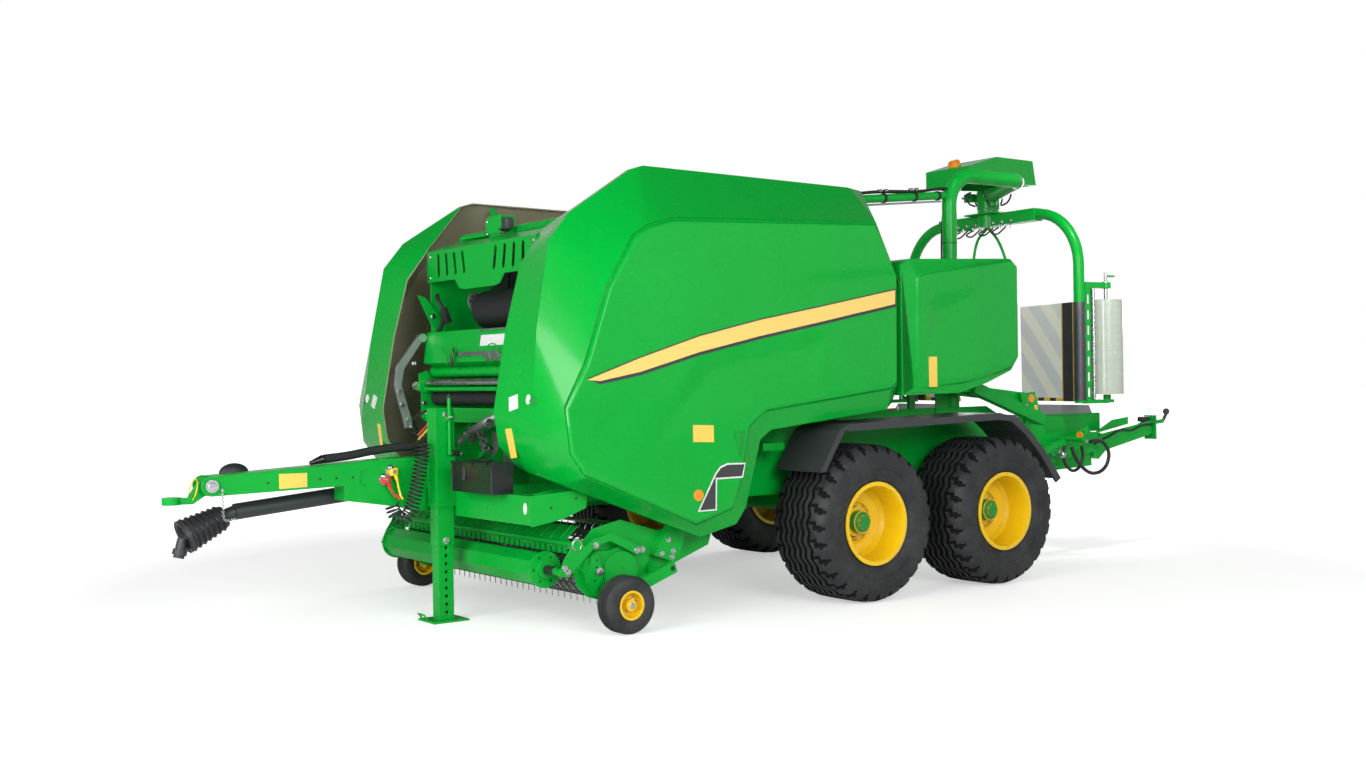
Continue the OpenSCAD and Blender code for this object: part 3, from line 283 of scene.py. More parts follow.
# ---------------------------------------------------------------- shapes
class Form:
    """Gathers simple solids, placed in the frame, into one mesh."""

    def __init__(self):
        self.bm = bmesh.new()

    def rod(self, p, q, d, d2=None, sides=20):
        p, q = Vector(p), Vector(q)
        turn = (q - p).to_track_quat("Z", "Y").to_matrix().to_4x4()
        bmesh.ops.create_cone(self.bm, cap_ends=True, segments=sides, radius1=d / 2,
                radius2=(d if d2 is None else d2) / 2, depth=(q - p).length,
                matrix=Matrix.Translation((p + q) / 2) @ turn)
        return self

    def pin(self, place, axis, length, *rest, **more):
        """A rod of a given length along an axis."""
        return self.rod(place, place + axis * length, *rest, **more)

    def ball(self, centre, d, squeeze=(1, 1, 1)):
        bmesh.ops.create_uvsphere(self.bm, u_segments=20, v_segments=12, radius=d / 2,
                matrix=Matrix.Translation(centre) @ Matrix.Diagonal((*squeeze, 1)))
        return self

    def block(self, centre, extent, turn=None, soft=0.0):
        made = bmesh.ops.create_cube(self.bm, size=1.0, matrix=Matrix.Translation(centre) @ (turn
                or Matrix.Identity(4)) @ Matrix.Diagonal((*extent, 1)))
        if soft:
            edges = dict.fromkeys(e for v in made["verts"] for e in v.link_edges)
            bmesh.ops.bevel(self.bm, geom=list(edges), offset=soft, segments=2, profile=0.5,
                    affect="EDGES")
        return self

    def plate(self, outline, x, thick):
        """A prism along X over an outline of (y, z) places."""
        near = [self.bm.verts.new(at(x, y, z)) for y, z in outline]
        far = [self.bm.verts.new(at(x + thick, y, z)) for y, z in outline]
        self.bm.faces.new(near)
        self.bm.faces.new(far[::-1])
        for i in range(len(near)):
            j = (i + 1) % len(near)
            self.bm.faces.new((near[i], far[i], far[j], near[j]))
        return self

    def tube(self, path, d, sides=10, closed=False):
        """A round tube along a list of places."""
        path = [Vector(p) for p in path]
        count = len(path)
        side, rings = None, []
        for i, p in enumerate(path):
            before = path[(i - 1) % count] if closed or i else path[0]
            after = path[(i + 1) % count] if closed or i < count - 1 else path[-1]
            ahead = (after - before).normalized()
            if side is None:
                side = ahead.orthogonal().normalized()
            side = (side - ahead * side.dot(ahead)).normalized()
            up = ahead.cross(side)
            turns = [2 * math.pi * k / sides for k in range(sides)]
            rings.append([self.bm.verts.new(p + d / 2 * (math.cos(a) * side + math.sin(a) * up))
                    for a in turns])
        steps = count if closed else count - 1
        for i in range(steps):
            a, b = rings[i], rings[(i + 1) % count]
            for k in range(sides):
                m = (k + 1) % sides
                self.bm.faces.new((a[k], a[m], b[m], b[k]))
        if not closed:
            self.bm.faces.new(rings[0][::-1])
            self.bm.faces.new(rings[-1])
        return self

    def hose(self, places, d, steps=6, sides=10):
        """A bent tube through places counted from the front tandem axle."""
        return self.tube(curve(places, steps), d, sides)

    def ring(self, centre, axis, d, thick, count=32):
        """A round ring about an axis."""
        centre, axis = Vector(centre), Vector(axis).normalized()
        side = axis.orthogonal().normalized()
        up = axis.cross(side)
        turns = [2 * math.pi * k / count for k in range(count)]
        return self.tube([centre + d / 2 * (math.cos(a) * side + math.sin(a) * up) for a in turns],
                thick, 8, closed=True)

    def bolt(self, place, axis, d=0.022):
        """A hexagon head on its washer, standing on a face."""
        place, axis = Vector(place), Vector(axis).normalized()
        self.rod(place - axis * 0.002, place + axis * 0.12 * d, 1.9 * d)
        return self.rod(place, place + axis * 0.62 * d, 1.45 * d, sides=6)

    def bolts(self, x, places, axis, d):
        """Bolts at one x and at places of (y, z)."""
        for y, z in places:
            self.bolt(at(x, y, z), axis, d)
        return self

    def mark(self, tree, start, towards, extent, lean=0.0, round_mark=False, thick=0.0025):
        """A thin mark laid on the first surface met from start. extent is (width, height)."""
        hit, normal, _, _ = tree.ray_cast(start, towards)
        if normal.dot(towards) > 0:
            normal = -normal
        across = Z.cross(normal).normalized()
        turn = Matrix((across, normal.cross(across), normal)).transposed().to_4x4()
        turn = turn @ Matrix.Rotation(lean, 4, "Z")
        centre = hit + normal * thick * 0.3
        if not round_mark:
            return self.block(centre, (*extent, thick), turn)
        stretch = Matrix.Diagonal((*extent, thick, 1))
        bmesh.ops.create_cone(self.bm, cap_ends=True, segments=28, radius1=0.5, radius2=0.5,
                depth=1, matrix=Matrix.Translation(centre) @ turn @ stretch)
        return self

    def mirrored(self):
        """Adds the same solids on the machine's other side."""
        made = bmesh.ops.duplicate(self.bm, geom=self.bm.verts[:] + self.bm.edges[:]
                + self.bm.faces[:])
        copies = [g for g in made["geom"] if isinstance(g, bmesh.types.BMVert)]
        for v in copies:
            v.co.x = -v.co.x
        bmesh.ops.reverse_faces(self.bm, faces=[g for g in made["geom"]
                if isinstance(g, bmesh.types.BMFace)])
        return self

    def piece(self, name, look, body="chassis", sharp=35, slot=None):
        """Turns what was gathered into a piece that rides on a body."""
        bmesh.ops.recalc_face_normals(self.bm, faces=self.bm.faces[:])
        return mesh_piece(self.bm, name, look, body, sharp)


def link(name, data):
    obj = bpy.data.objects.new(name, data)
    bpy.context.scene.collection.objects.link(obj)
    return obj


def mesh_piece(bm, name, looks, body="chassis", sharp=35):
    looks = looks if isinstance(looks, list) else [looks]
    mesh = bpy.data.meshes.new(name)
    bm.to_mesh(mesh)
    bm.free()
    mesh.polygons.foreach_set("use_smooth", [True] * len(mesh.polygons))
    mesh.set_sharp_from_angle(angle=math.radians(sharp))
    obj = link(name, mesh)
    for look in looks:
        mesh.materials.append(MATERIALS[look])
    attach(obj, body)
    return obj


def smooth_path(points, steps=6):
    """A curve through the points, rounder than their straight lines."""
    points = [Vector(p) for p in points]
    ends = [2 * points[0] - points[1], *points, 2 * points[-1] - points[-2]]
    made = []
    for i in range(1, len(ends) - 2):
        a, b, c, d = ends[i - 1:i + 3]
        for k in range(steps):
            t = k / steps
            made.append(0.5 * ((2 * b) + (c - a) * t + (2 * a - 5 * b + 4 * c - d) * t * t
                    + (3 * b - a - 3 * c + d) * t ** 3))
    return [*made, points[-1]]


def curve(places, steps):
    """A smooth path through places counted from the front tandem axle."""
    return smooth_path([at(*p) for p in places], steps)


def surfaces_of(node):
    return BVHTree.FromPolygons([v.co for v in NODES[node].data.vertices],
            [p.vertices for p in NODES[node].data.polygons])


def around(centre, radius, count, start=0.0):
    """Places on a circle about an axis along X."""
    for k in range(count):
        a = math.tau * (k + start) / count
        yield centre + Vector((0, radius * math.cos(a), radius * math.sin(a)))


# ---------------------------------------------------------------- tyres
TREAD_DEEP = 0.015
WAVES = 28


def round_places(bm, centre, profile, turn):
    """Vertices of a profile of (offset along X, radius), turned about the X axis."""
    return [bm.verts.new((centre.x + x, centre.y + r * math.cos(turn),
            centre.z + r * math.sin(turn))) for x, r in profile]


def tyre_piece(bm, rings, node, name, body, looks, sunk=()):
    """Skins the rings of a tyre; faces on sunk places take the second look, a darker colour painted
    as shade.
    """
    for a, b in zip(rings, rings[1:] + rings[:1]):
        for i in range(len(a)):
            j = (i + 1) % len(a)
            face = bm.faces.new((a[i], b[i], b[j], a[j]))
            face.material_index = int(sum(v in sunk for v in face.verts) >= 2)
    bmesh.ops.recalc_face_normals(bm, faces=bm.faces[:])
    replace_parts(mesh_piece(bm, name, looks, body, 38), node)


def tandem_tyre(name, body):
    """Flotation tyre with wavy grooves between its ribs and notched shoulders."""
    centre, extent = span(name)
    r, half = extent.z / 2, extent.x / 2
    bead = span(name.replace("tyre", "rim"))[1].z / 2 - 0.010
    side = r - bead
    # profile of (share of the half width, radius, how far it follows the waves)
    columns = [(-0.80, r - side * 0.045, 0), (-0.70, r - 0.004, 0.4)]
    for g in (-0.54, -0.32, -0.107, 0.107, 0.32, 0.54):
        for shift, depth in ((-0.050, 0), (-0.034, 1), (0.034, 1), (0.050, 0)):
            columns.append((g + shift, r - 0.002 * (abs(g) > 0.5) - depth * TREAD_DEEP, 1))
    columns += [(0.70, r - 0.004, 0.4), (0.80, r - side * 0.045, 0)]
    flank = [(0.90, r - side * 0.10), (0.96, r - side * 0.20), (0.985, r - side * 0.32),
            (1.0, r - side * 0.45), (0.992, r - side * 0.60), (0.992, r - side * 0.62),
            (0.972, r - side * 0.63), (0.95, r - side * 0.76), (0.90, bead + side * 0.14),
            (0.91, bead + side * 0.11), (0.87, bead + side * 0.06), (0.82, bead)]
    profile = [(-u, v, 0) for u, v in flank[::-1]] + columns + [(u, v, 0) for u, v in flank]
    steps = WAVES * 10
    bm = bmesh.new()
    rings, sunk = [], set()
    for k in range(steps):
        a = math.tau * k / steps
        wave = math.asin(0.92 * math.sin(WAVES * a)) / 1.17
        places = []
        for u, v, follow in profile:
            x, radius = half * u + follow * 0.011 * wave, v
            slant = 3.0 * max(0.0, 0.80 - abs(u))
            notch = (WAVES * a / math.tau + (0.5 if u > 0 else 0) + slant) % 1.0
            if 0.68 < abs(u) < 0.97 and abs(v - bead) > side * 0.6:
                # shoulder notches, deepest on the rim of the tread
                open_part = 1 - min(1.0, max(0.0, (abs(notch - 0.5) - 0.13) / 0.05))
                radius -= open_part * TREAD_DEEP * (0.9 if abs(u) < 0.93 else 0.35)
            elif 0.97 <= abs(u) and v > r - side * 0.36:
                x -= math.copysign(0.003, u) * (1 - min(1.0, abs(notch - 0.5) / 0.18))
            places.append((x, radius))
        rings.append(round_places(bm, centre, places, a))
        # places in grooves and notches, whose faces are painted darker as shade
        for vert, (u, v, _), (_, radius) in zip(rings[-1], profile, places):
            if radius < v - TREAD_DEEP * 0.5 or (abs(u) < 0.6 and v < r - TREAD_DEEP * 0.5):
                sunk.add(vert)
    tyre_piece(bm, rings, name, name + "_tread", body, ["tyre", "groove_shade"], sunk)


def gauge_tyre(name, body):
    """Small ribbed tyre of the pickup's gauge wheel."""
    centre, extent = span(name)
    r, half = extent.z / 2, extent.x / 2
    bead = 0.082
    outline = [(0.82, bead), (0.93, bead + 0.010), (1.0, bead + 0.042), (0.97, r - 0.024),
            (0.86, r - 0.010), (0.72, r - 0.004)]
    for g in (0.56, 0.30, 0.06):
        outline += [(g + 0.045, r - 0.001), (g + 0.03, r - 0.006), (g - 0.03, r - 0.006),
                (g - 0.045, r - 0.0005)]
    outline += [(-u, v) for u, v in outline[::-1] if u > 0.02 or v > r - 0.001]
    places = [(half * u, v) for u, v in outline]
    steps = 72
    bm = bmesh.new()
    rings = [round_places(bm, centre, places, math.tau * k / steps) for k in range(steps)]
    tyre_piece(bm, rings, name, name + "_ribs", body, "tyre")


def wheel_trim(end, side, s):
    """Green hub cover, wheel nuts and valve of a tandem wheel."""
    body = f"wheel_{end}_{side}"
    centre = middle(f"tyre_{end}_{side}")
    out = s * X
    hub = Form()
    for start, length, d, d2, sides in ((0.040, 0.048, 0.1515, 0.1515, 28),
            (0.088, 0.010, 0.1515, 0.120, 28), (0.098, 0.018, 0.094, 0.094, 8)):
        hub.pin(centre + out * start, out, length, d, d2, sides)
    for place in around(centre + out * 0.095, 0.056, 6):
        hub.bolt(place, out, 0.012)
    hub.piece(f"hub_cover_{end}_{side}", "deep_green", body)
    nuts = Form()
    for place in around(centre, 0.112, 8):
        nuts.bolt(place + out * 0.016, out, 0.017)
        nuts.pin(place + out * 0.020, out, 0.025, 0.012)
    nuts.rod(centre + Vector((s * 0.14, -0.12, -0.20)), centre + Vector((s * 0.19, -0.115, -0.19)),
            0.011)
    nuts.piece(f"wheel_nuts_{end}_{side}", "steel", body)


def gauge_trim(side, s):
    """Hub cap, valve and bolts of a gauge wheel."""
    centre = middle(f"gauge_tyre_{side}")
    out = s * X
    trim = Form().pin(centre + out * 0.058, out, 0.0125, 0.044, 0.036)
    trim.bolt(centre + out * 0.066, out, 0.014)
    trim.rod(centre + Vector((s * 0.02, 0.05, 0.02)), centre + Vector((s * 0.05, 0.052, 0.022)),
            0.009)
    for place in around(centre + out * 0.010, 0.050, 4, 0.5):
        trim.bolt(place, out, 0.010)
    trim.piece(f"gauge_hub_{side}", "steel", f"gauge_wheel_{side}")


# ---------------------------------------------------------------- side doors
def bump_of(distance, width):
    return math.exp(-((distance / width) ** 2))


def segment_distance(p, a, b):
    """Distance of p from the line a-b, its share along it and the side that it lies on."""
    d = (b[0] - a[0], b[1] - a[1])
    length = math.hypot(*d)
    share = ((p[0] - a[0]) * d[0] + (p[1] - a[1]) * d[1]) / length ** 2
    across = (d[0] * (p[1] - a[1]) - d[1] * (p[0] - a[0])) / length
    return across, share


def crease(p, line, reach, deep):
    """How far a face is pressed in below a crease: full at the line, fading away from it."""
    best = 0.0
    for a, b in zip(line, line[1:]):
        across, share = segment_distance(p, a, b)
        if -0.05 <= share <= 1.05 and across < 0:
            ends = min(1.0, max(0.0, 0.2 + share)) if a == line[0] else 1.0
            best = max(best, deep * ends * math.exp(across / reach) * min(1.0, -across / 0.02))
    return best


def pressed_copy(node, body, looks, press, step, border, core):
    """A copy of thin pressed panels with rounded borders; press(y, z) dents their flat faces.

    looks are the outer and the inner material; core is a place on the inner side, at +X. The
    inner skin behind the flat face moves in by room, so that no dent reaches it.
    """
    room = 0.018
    low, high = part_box(node)
    face_x = max(high.x, -low.x)

    def on_face(part):
        return all(abs(abs(v.co.x) - face_x) < 0.0005 for v in part.verts)

    bm = bmesh.new()
    bm.from_mesh(NODES[node].data)
    bmesh.ops.remove_doubles(bm, verts=bm.verts[:], dist=0.0001)
    bmesh.ops.dissolve_limit(bm, angle_limit=math.radians(1.5), verts=bm.verts[:],
            edges=bm.edges[:])
    rim = [e for e in bm.edges if on_face(e) and sum(on_face(f) for f in e.link_faces) == 1]
    bmesh.ops.bevel(bm, geom=rim, offset=border, segments=5, profile=0.5, affect="EDGES")
    cuts = [(Vector((0, low.y + (i + 0.5) * step, 0)), Y)
            for i in range(int((high.y - low.y) / step))]
    cuts += [(Vector((0, 0, low.z + (i + 0.5) * step)), Z)
            for i in range(int((high.z - low.z) / step))]
    for place, normal in cuts:
        parts = [f for f in bm.faces if on_face(f)]
        geometry = list(dict.fromkeys(g for f in parts for g in (f, *f.edges, *f.verts)))
        bmesh.ops.bisect_plane(bm, geom=geometry, dist=1e-5, plane_co=place, plane_no=normal)
    inside = [v for v in bm.verts if abs(abs(v.co.x) - face_x) < 0.0005
            and all(on_face(f) for f in v.link_faces)]
    dents = [(v, press(v.co.y - AXLE, v.co.z)) for v in inside]
    dents += [(v, room) for v in bm.verts if 0.006 < face_x - abs(v.co.x) < 0.012]
    bm.normal_update()
    for f in bm.faces:
        centre = f.calc_center_median()
        heart = Vector((math.copysign(core[0], centre.x), core[1] + AXLE, core[2]))
        f.material_index = int(f.normal.dot(centre - heart) < 0)
    for v, dent in dents:
        v.co.x -= math.copysign(dent, v.co.x)
    panel = mesh_piece(bm, node + "_panel", looks, body, 28)
    # the faces between two rings of corners bend softly, the rings themselves stay crisp
    mesh = panel.data
    sharp = mesh.attributes["sharp_edge"].data
    for edge in mesh.edges:
        a, b = (abs(mesh.vertices[i].co.x) for i in edge.vertices)
        if abs(a - b) > 0.18 or (max(a, b) > face_x - 0.055 > min(a, b)):
            sharp[edge.index].value = False
    weights = panel.modifiers.new("weights", "WEIGHTED_NORMAL")
    weights.keep_sharp = True
    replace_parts(panel, node)


LOW_CREASE = [(-1.74, 1.13), (-1.343, 1.559), (-1.213, 1.612), (-0.45, 1.73)]


def door_press(y, z):
    low = crease((y, z), LOW_CREASE, 0.16, 0.016)
    fading = max(0.0, min(1.0, (y + 0.85) / 0.5))
    return low + 0.010 * bump_of(z - (2.075 + 0.10 * (y + 0.2)), 0.055) * fading


def doors():
    for side, s in SIDES:
        pressed_copy(f"door_{side}", f"door_{side}", ["green_panel", "lining"], door_press, 0.045,
                0.022, (0.70, -0.9, 1.55))
        door_marks(side, s)


def door_marks(side, s):
    """Reflectors, blank plates, window and handle pocket of a door."""
    body = f"door_{side}"
    skin = 0.002

    def flat(name, look, outline, lift=0.0, thick=skin, slot=None):
        form = Form().plate(outline, s * (DOOR_X + lift), s * thick)
        form.piece(f"{name}_{side}", look, body, slot=slot)

    disc = Form().pin(at(s * (DOOR_X - 0.004), -1.390, 0.780), s * X, 0.010, 0.074, 0.066, 28)
    disc.piece(f"door_reflector_{side}", "orange_lens", body)
    flat("door_plate", "label_yellow", [(-1.425, 1.100), (-1.27, 1.093), (-1.27, 1.195),
            (-1.425, 1.202)])
    # pale border of the window and its dark frame
    flat("window_border", "white_mark", [(-1.398, 0.682), (-1.262, 0.905), (-1.225, 0.944),
            (-1.17, 0.962), (-1.028, 0.958), (-1.050, 0.868), (-1.252, 0.868), (-1.256, 0.682)])
    flat("window_band", "black_plastic", [(-1.384, 0.690), (-1.254, 0.900), (-1.219, 0.935),
            (-1.168, 0.952), (-1.038, 0.949), (-1.058, 0.878), (-1.262, 0.878), (-1.266, 0.690)],
            skin, 0.0012)
    # valve block and taps behind the window
    valves, taps = Form(), Form()
    valves.block(at(s * 1.262, -1.16, 0.79), (0.05, 0.20, 0.19), soft=0.004)
    for k in range(3):
        y = -1.21 + 0.055 * k
        valves.pin(at(s * 1.28, y, 0.80), s * X, 0.065, 0.030)
        valves.pin(at(s * 1.345, y, 0.80), s * X, 0.017, 0.018)
        taps.ball(at(s * 1.366, y, 0.80), 0.022)
        taps.pin(at(s * 1.30, -1.19 + 0.05 * k, 0.73), s * X, 0.040, 0.016)
    valves.piece(f"window_valves_{side}", "deep_green", body)
    taps.piece(f"window_taps_{side}", "steel", body)
    # pressed pocket of the handle: a darker plate painted as its shade, with a strip of panel green
    # painted on it as its highlight
    flat("handle_pocket_shade", "deep_green", [(-1.115, 1.150), (-1.028, 1.150), (-1.066, 0.985)], 0.0005,
            slot="green_panel")
    flat("handle_shine", "green_panel", [(-1.108, 1.145), (-1.070, 1.145), (-1.069, 1.000)], 0.0026,
            0.0006)
    # marks on the sloping front wall
    tree = surfaces_of(body)

    def mark(form, x, z, *rest, **more):
        return form.mark(tree, at(s * x, AHEAD, z), Y, *rest, **more)

    yellow = mark(Form(), 0.895, 1.115, (0.062, 0.175), s * 0.10)
    yellow.piece(f"front_plate_{side}", "label_yellow", body)
    white = mark(Form(), 1.10, 1.372, (0.050, 0.058), round_mark=True)
    mark(white, 0.955, 1.352, (0.085, 0.085), s * 0.25)
    white.piece(f"front_reflector_{side}", "white_mark", body)
    # a recess in the front wall, painted as a darker plate for its shade
    dark = mark(Form(), 1.155, 1.36, (0.045, 0.055), 0.7)
    dark.piece(f"front_recess_{side}", "deep_green", body, slot="green_panel")


STRIPE_TOP = [(-2.169, 1.479), (-1.802, 1.602), (-1.362, 1.732), (-0.895, 1.834), (-0.398, 1.923),
        (0.272, 2.048)]
STRIPE_LOW = [(0.270, 1.954), (-0.400, 1.827), (-0.897, 1.735), (-1.364, 1.637), (-1.803, 1.521),
        (-2.081, 1.472)]


def stripes():
    """Thin dark line round the yellow stripe, with a broader one below it."""
    for side, s in SIDES:
        top = [(y, z + 0.008) for y, z in STRIPE_TOP]
        low = [(y, z - 0.020) for y, z in STRIPE_LOW]
        line = Form().plate([*top, (0.282, 2.052), (0.280, 1.936), *low], s * (DOOR_X + 0.0001),
                s * 0.0009)
        line.piece(f"stripe_line_{side}", "black_plastic", f"door_{side}")


# ---------------------------------------------------------------- storage boxes
def box_press(y, z):
    """Shallow triangle pressed into the face, its point to the rear."""
    corners = [(0.565, 1.690), (0.590, 1.99), (1.16, 2.085)]
    inside = 1e9
    for a, b in zip(corners, corners[1:] + corners[:1]):
        across, _ = segment_distance((y, z), a, b)
        inside = min(inside, -across)
    if inside < 0:
        return 0.0
    return 0.014 * min(1.0, inside / 0.05)


def storage():
    pressed_copy("storage_boxes", "chassis", ["green_panel", "green_panel"], box_press, 0.04, 0.020,
            (1.20, 0.9, 1.8))
    tree = surfaces_of("storage_boxes")
    for side, s in SIDES:
        mark = Form().mark(tree, at(s * 3, 0.600, 1.50), -s * X, (0.078, 0.205))
        mark.piece(f"box_plate_{side}", "label_yellow")


# ---------------------------------------------------------------- cords
COIL_PATH = [(0.200, -2.600, 1.110), (0.200, -2.610, 1.020), (0.200, -2.627, 0.930),
        (0.200, -2.647, 0.840), (0.200, -2.670, 0.750), (0.200, -2.700, 0.680),
        (0.200, -2.745, 0.650), (0.200, -2.790, 0.676), (0.200, -2.815, 0.740)]
COIL_RADIUS = 0.0415
COIL_WIRE = 0.0095
COIL_PITCH = 0.024
SLEEVE_PATH = [(-0.020, -3.150, 1.026), (-0.020, -3.000, 1.038), (-0.020, -2.850, 1.060),
        (-0.020, -2.700, 1.075), (-0.020, -2.560, 1.080), (-0.030, -2.440, 1.085),
        (-0.030, -2.300, 1.090)]
LOOP_PATH = [(1.010, 2.560, 0.900), (1.020, 2.590, 0.820), (1.030, 2.660, 0.740),
        (1.030, 2.760, 0.690), (1.030, 2.870, 0.690), (1.030, 2.960, 0.740), (1.025, 3.000, 0.830),
        (1.015, 2.960, 0.910), (1.005, 2.880, 0.940), (1.000, 2.800, 0.930)]
LOOP_PATH_2 = [(0.980, 2.520, 0.910), (0.975, 2.500, 0.830), (0.975, 2.540, 0.750),
        (0.975, 2.620, 0.710), (0.975, 2.700, 0.740), (0.975, 2.740, 0.820), (0.980, 2.720, 0.900)]


def length_of(path):
    return sum((b - a).length for a, b in zip(path, path[1:]))


def helix_along(path, radius, pitch, per_turn=14):
    """Places of a coil wound around a path."""
    path = smooth_path(path, 12)
    total = length_of(path)
    turns = total / pitch
    count = int(turns * per_turn)
    made, side = [], None
    walked, i = 0.0, 0
    for k in range(count + 1):
        target = total * k / count
        while i < len(path) - 2 and walked + (path[i + 1] - path[i]).length < target:
            walked += (path[i + 1] - path[i]).length
            i += 1
        step = path[i + 1] - path[i]
        ahead = step.normalized()
        p = path[i] + ahead * (target - walked)
        side = ahead.orthogonal() if side is None else side - ahead * side.dot(ahead)
        side.normalize()
        up = ahead.cross(side)
        a = 2 * math.pi * k / per_turn
        made.append(p + radius * (math.cos(a) * side + math.sin(a) * up))
    return made


def cord(name, path, d, replaces=(), sides=10):
    obj = Form().tube(path, d, sides).piece(name, "black_rubber")
    if replaces:
        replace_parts(obj, *replaces)


def cords():
    coil = helix_along([at(*p) for p in COIL_PATH], COIL_RADIUS, COIL_PITCH)
    cord("air_coil", coil, COIL_WIRE, ("air_hoses",), sides=8)
    cord("hose_sleeve", curve(SLEEVE_PATH, 4), 0.055)
    cord("rear_loop", curve(LOOP_PATH, 4), 0.029, replaces=("rear_hoses",))
    cord("rear_loop_small", curve(LOOP_PATH_2, 4), 0.025)


# ---------------------------------------------------------------- wrapping sheets
def banners():
    """The safety sheets: woven cloth with a dark strip at the arm and a hem below."""
    reach, low, high, cells, hems = 0.80, 1.252, 2.038, 24, 9
    for k, (side, _) in enumerate(SIDES):
        swing = Matrix.Rotation(math.radians(180 - 14), 4, "Z")
        spin = Matrix.Rotation(ROTOR_TURN + math.pi * k, 4, "Z")
        hinge = Matrix.Translation((0.95, -0.01, 0))
        local = Matrix.Translation(at(0, ROTOR_Y, 0)) @ spin @ hinge @ swing

        def strip(form, u, z, extent):
            form.block(local @ Vector((u, 0, z)), extent, spin @ swing)

        bm = bmesh.new()
        uv = bm.loops.layers.uv.new("UVMap")

        def corner(i, j):
            wave = 0.0035 * math.sin((5 * i + 2 * j) / cells)
            return local @ Vector((reach * i / cells, wave, low + (high - low) * j / cells))

        grid = [[bm.verts.new(corner(i, j)) for j in range(cells + 1)] for i in range(cells + 1)]
        for i in range(cells):
            for j in range(cells):
                corners = ((i, j), (i + 1, j), (i + 1, j + 1), (i, j + 1))
                face = bm.faces.new([grid[a][b] for a, b in corners])
                for loop, (a, b) in zip(face.loops, corners):
                    loop[uv].uv = (a / cells, b / cells)
        sheet = mesh_piece(bm, f"banner_{side}", "cloth", "wrap_rotor", 60)
        if k == 0:
            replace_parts(sheet, "wrap_sheets")
        hem, yellow = Form(), Form()
        for i in range(hems):
            strip(hem if i % 2 else yellow, reach * (i + 0.5) / hems, low + 0.014,
                    (reach / hems, 0.007, 0.028))
        for u in (0.006, 0.165):
            strip(yellow, u, (low + high) / 2, (0.012, 0.008, high - low))
        strip(hem, 0.085, (low + high) / 2, (0.145, 0.009, high - low))
        one = hem.piece(f"banner_hem_{side}", "black_rubber", "wrap_rotor")
        two = yellow.piece(f"banner_edge_{side}", "yellow_cap", "wrap_rotor")


# ---------------------------------------------------------------- hitch and parking jack
BELL_START = (-3.7000, 0.7060)
BELL_TILT = math.radians(114)
PLEATS = 7


def hitch():
    """Plate, holes, pin, welds and strap of the drawbar, the drive shaft's chain and bell."""
    flank = 0.080
    Form().plate([(-3.469, 0.867), (-3.298, 0.870), (-3.298, 0.953), (-3.469, 0.955)], flank,
            0.0015).piece("drawbar_plate", "label_yellow")
    # holes in the drawbar, painted as thin dark discs for their shade
    holes = Form()
    for y, z in ((-3.535, 0.905), (-3.217, 0.912), (-3.115, 0.912), (-3.010, 0.911)):
        holes.pin(at(flank - 0.001, y, z), X, 0.0018, 0.015)
    holes.pin(at(-flank + 0.001, -3.3, 0.91), X, -0.0018, 0.015)
    # cap kept beside the drawbar
    holes.ball(at(-0.125, -3.665, 0.962), 0.19, (0.42, 0.95, 0.62))
    holes.piece("drawbar_hole_shade_and_cap", "black_rubber")
    heads = Form()
    for s in (1, -1):
        heads.pin(at(s * 0.090, -3.866, 0.905), X, s * 0.0055, 0.076)
        heads.pin(at(s * 0.095, -3.866, 0.905), X, s * 0.011, 0.046, 0.040)
    heads.piece("hitch_pin", "steel")
    seam = Form().tube([at(flank + 0.001, -2.930, 0.958), at(flank + 0.002, -2.962, 0.940),
            at(flank + 0.002, -2.975, 0.905), at(flank + 0.002, -2.962, 0.872),
            at(flank + 0.001, -2.930, 0.858)], 0.008)
    seam.tube([at(flank - 0.001, -3.80, 0.958), at(flank - 0.001, -2.85, 1.009)], 0.007)
    seam.piece("drawbar_welds", "green_paint")
    strap = Form().ring(at(0.0, -3.945, 0.885), (0, 1, -0.25), 0.125, 0.007)
    strap.piece("eye_strap", "yellow_cap")
    # light chain that keeps the guard tube from turning
    chain = Form()
    hang = curve([(0.086, -3.806, 0.895), (0.075, -3.800, 0.800), (-0.020, -3.760, 0.700),
            (-0.110, -3.660, 0.690)], 8)
    for k, (a, b) in enumerate(zip(hang, hang[1:])):
        across = X if k % 2 else (0, 0.6, 0.8)
        chain.ring((a + b) / 2, across, 0.013, 0.0032, 8)
        chain.rod(a, b, 0.0035, sides=6)
    chain.piece("guard_chain", "steel")
    # rims of the bell's pleats, and the tapered front end of the hose sleeve
    bell = Form()
    start = at(-0.200, *BELL_START)
    along = Vector((0, -math.sin(BELL_TILT), math.cos(BELL_TILT)))
    for i in range(PLEATS):
        bell.ring(start + along * (0.034 * (i + 1)), along, 0.156 + 0.008 * i, 0.0075, 40)
    bell.ring(start + along * (0.034 * PLEATS + 0.026), along, 0.200, 0.008, 40)
    bell.rod(at(-0.020, -3.158, 1.025), at(-0.020, -3.240, 1.004), 0.0545, 0.022)
    bell.piece("bell_ribs", "gloss_black")
    # brake couplings parked on the drawbar, with their short hoses
    for name, look, y, z, toward in (("red", "red_cap", -2.806, 0.885, -2.745),
            ("yellow", "yellow_cap", -2.760, 0.935, -2.722)):
        head = Form().block(at(0.112, y, z), (0.034, 0.052, 0.050), soft=0.007)
        head.rod(at(0.118, y + 0.010, z - 0.018), at(0.118, y + 0.022, z - 0.052), 0.022)
        head.hose([(0.118, y + 0.022, z - 0.050), (0.122, toward - 0.008, z - 0.100),
                (0.130, toward, 0.790), (0.150, toward + 0.006, 0.765)], 0.013, 5)
        head.piece(f"coupling_{name}", look, slot="orange_lens")
        cap = Form().pin(at(0.080, y - 0.004, z + 0.004), X, 0.017, 0.074)
        cap.ball(at(0.112, y - 0.016, z + 0.026), 0.042, (1, 1.1, 0.8))
        cap.pin(at(0.128, y, z), X, 0.006, 0.024)
        cap.piece(f"coupling_cap_{name}", "steel")


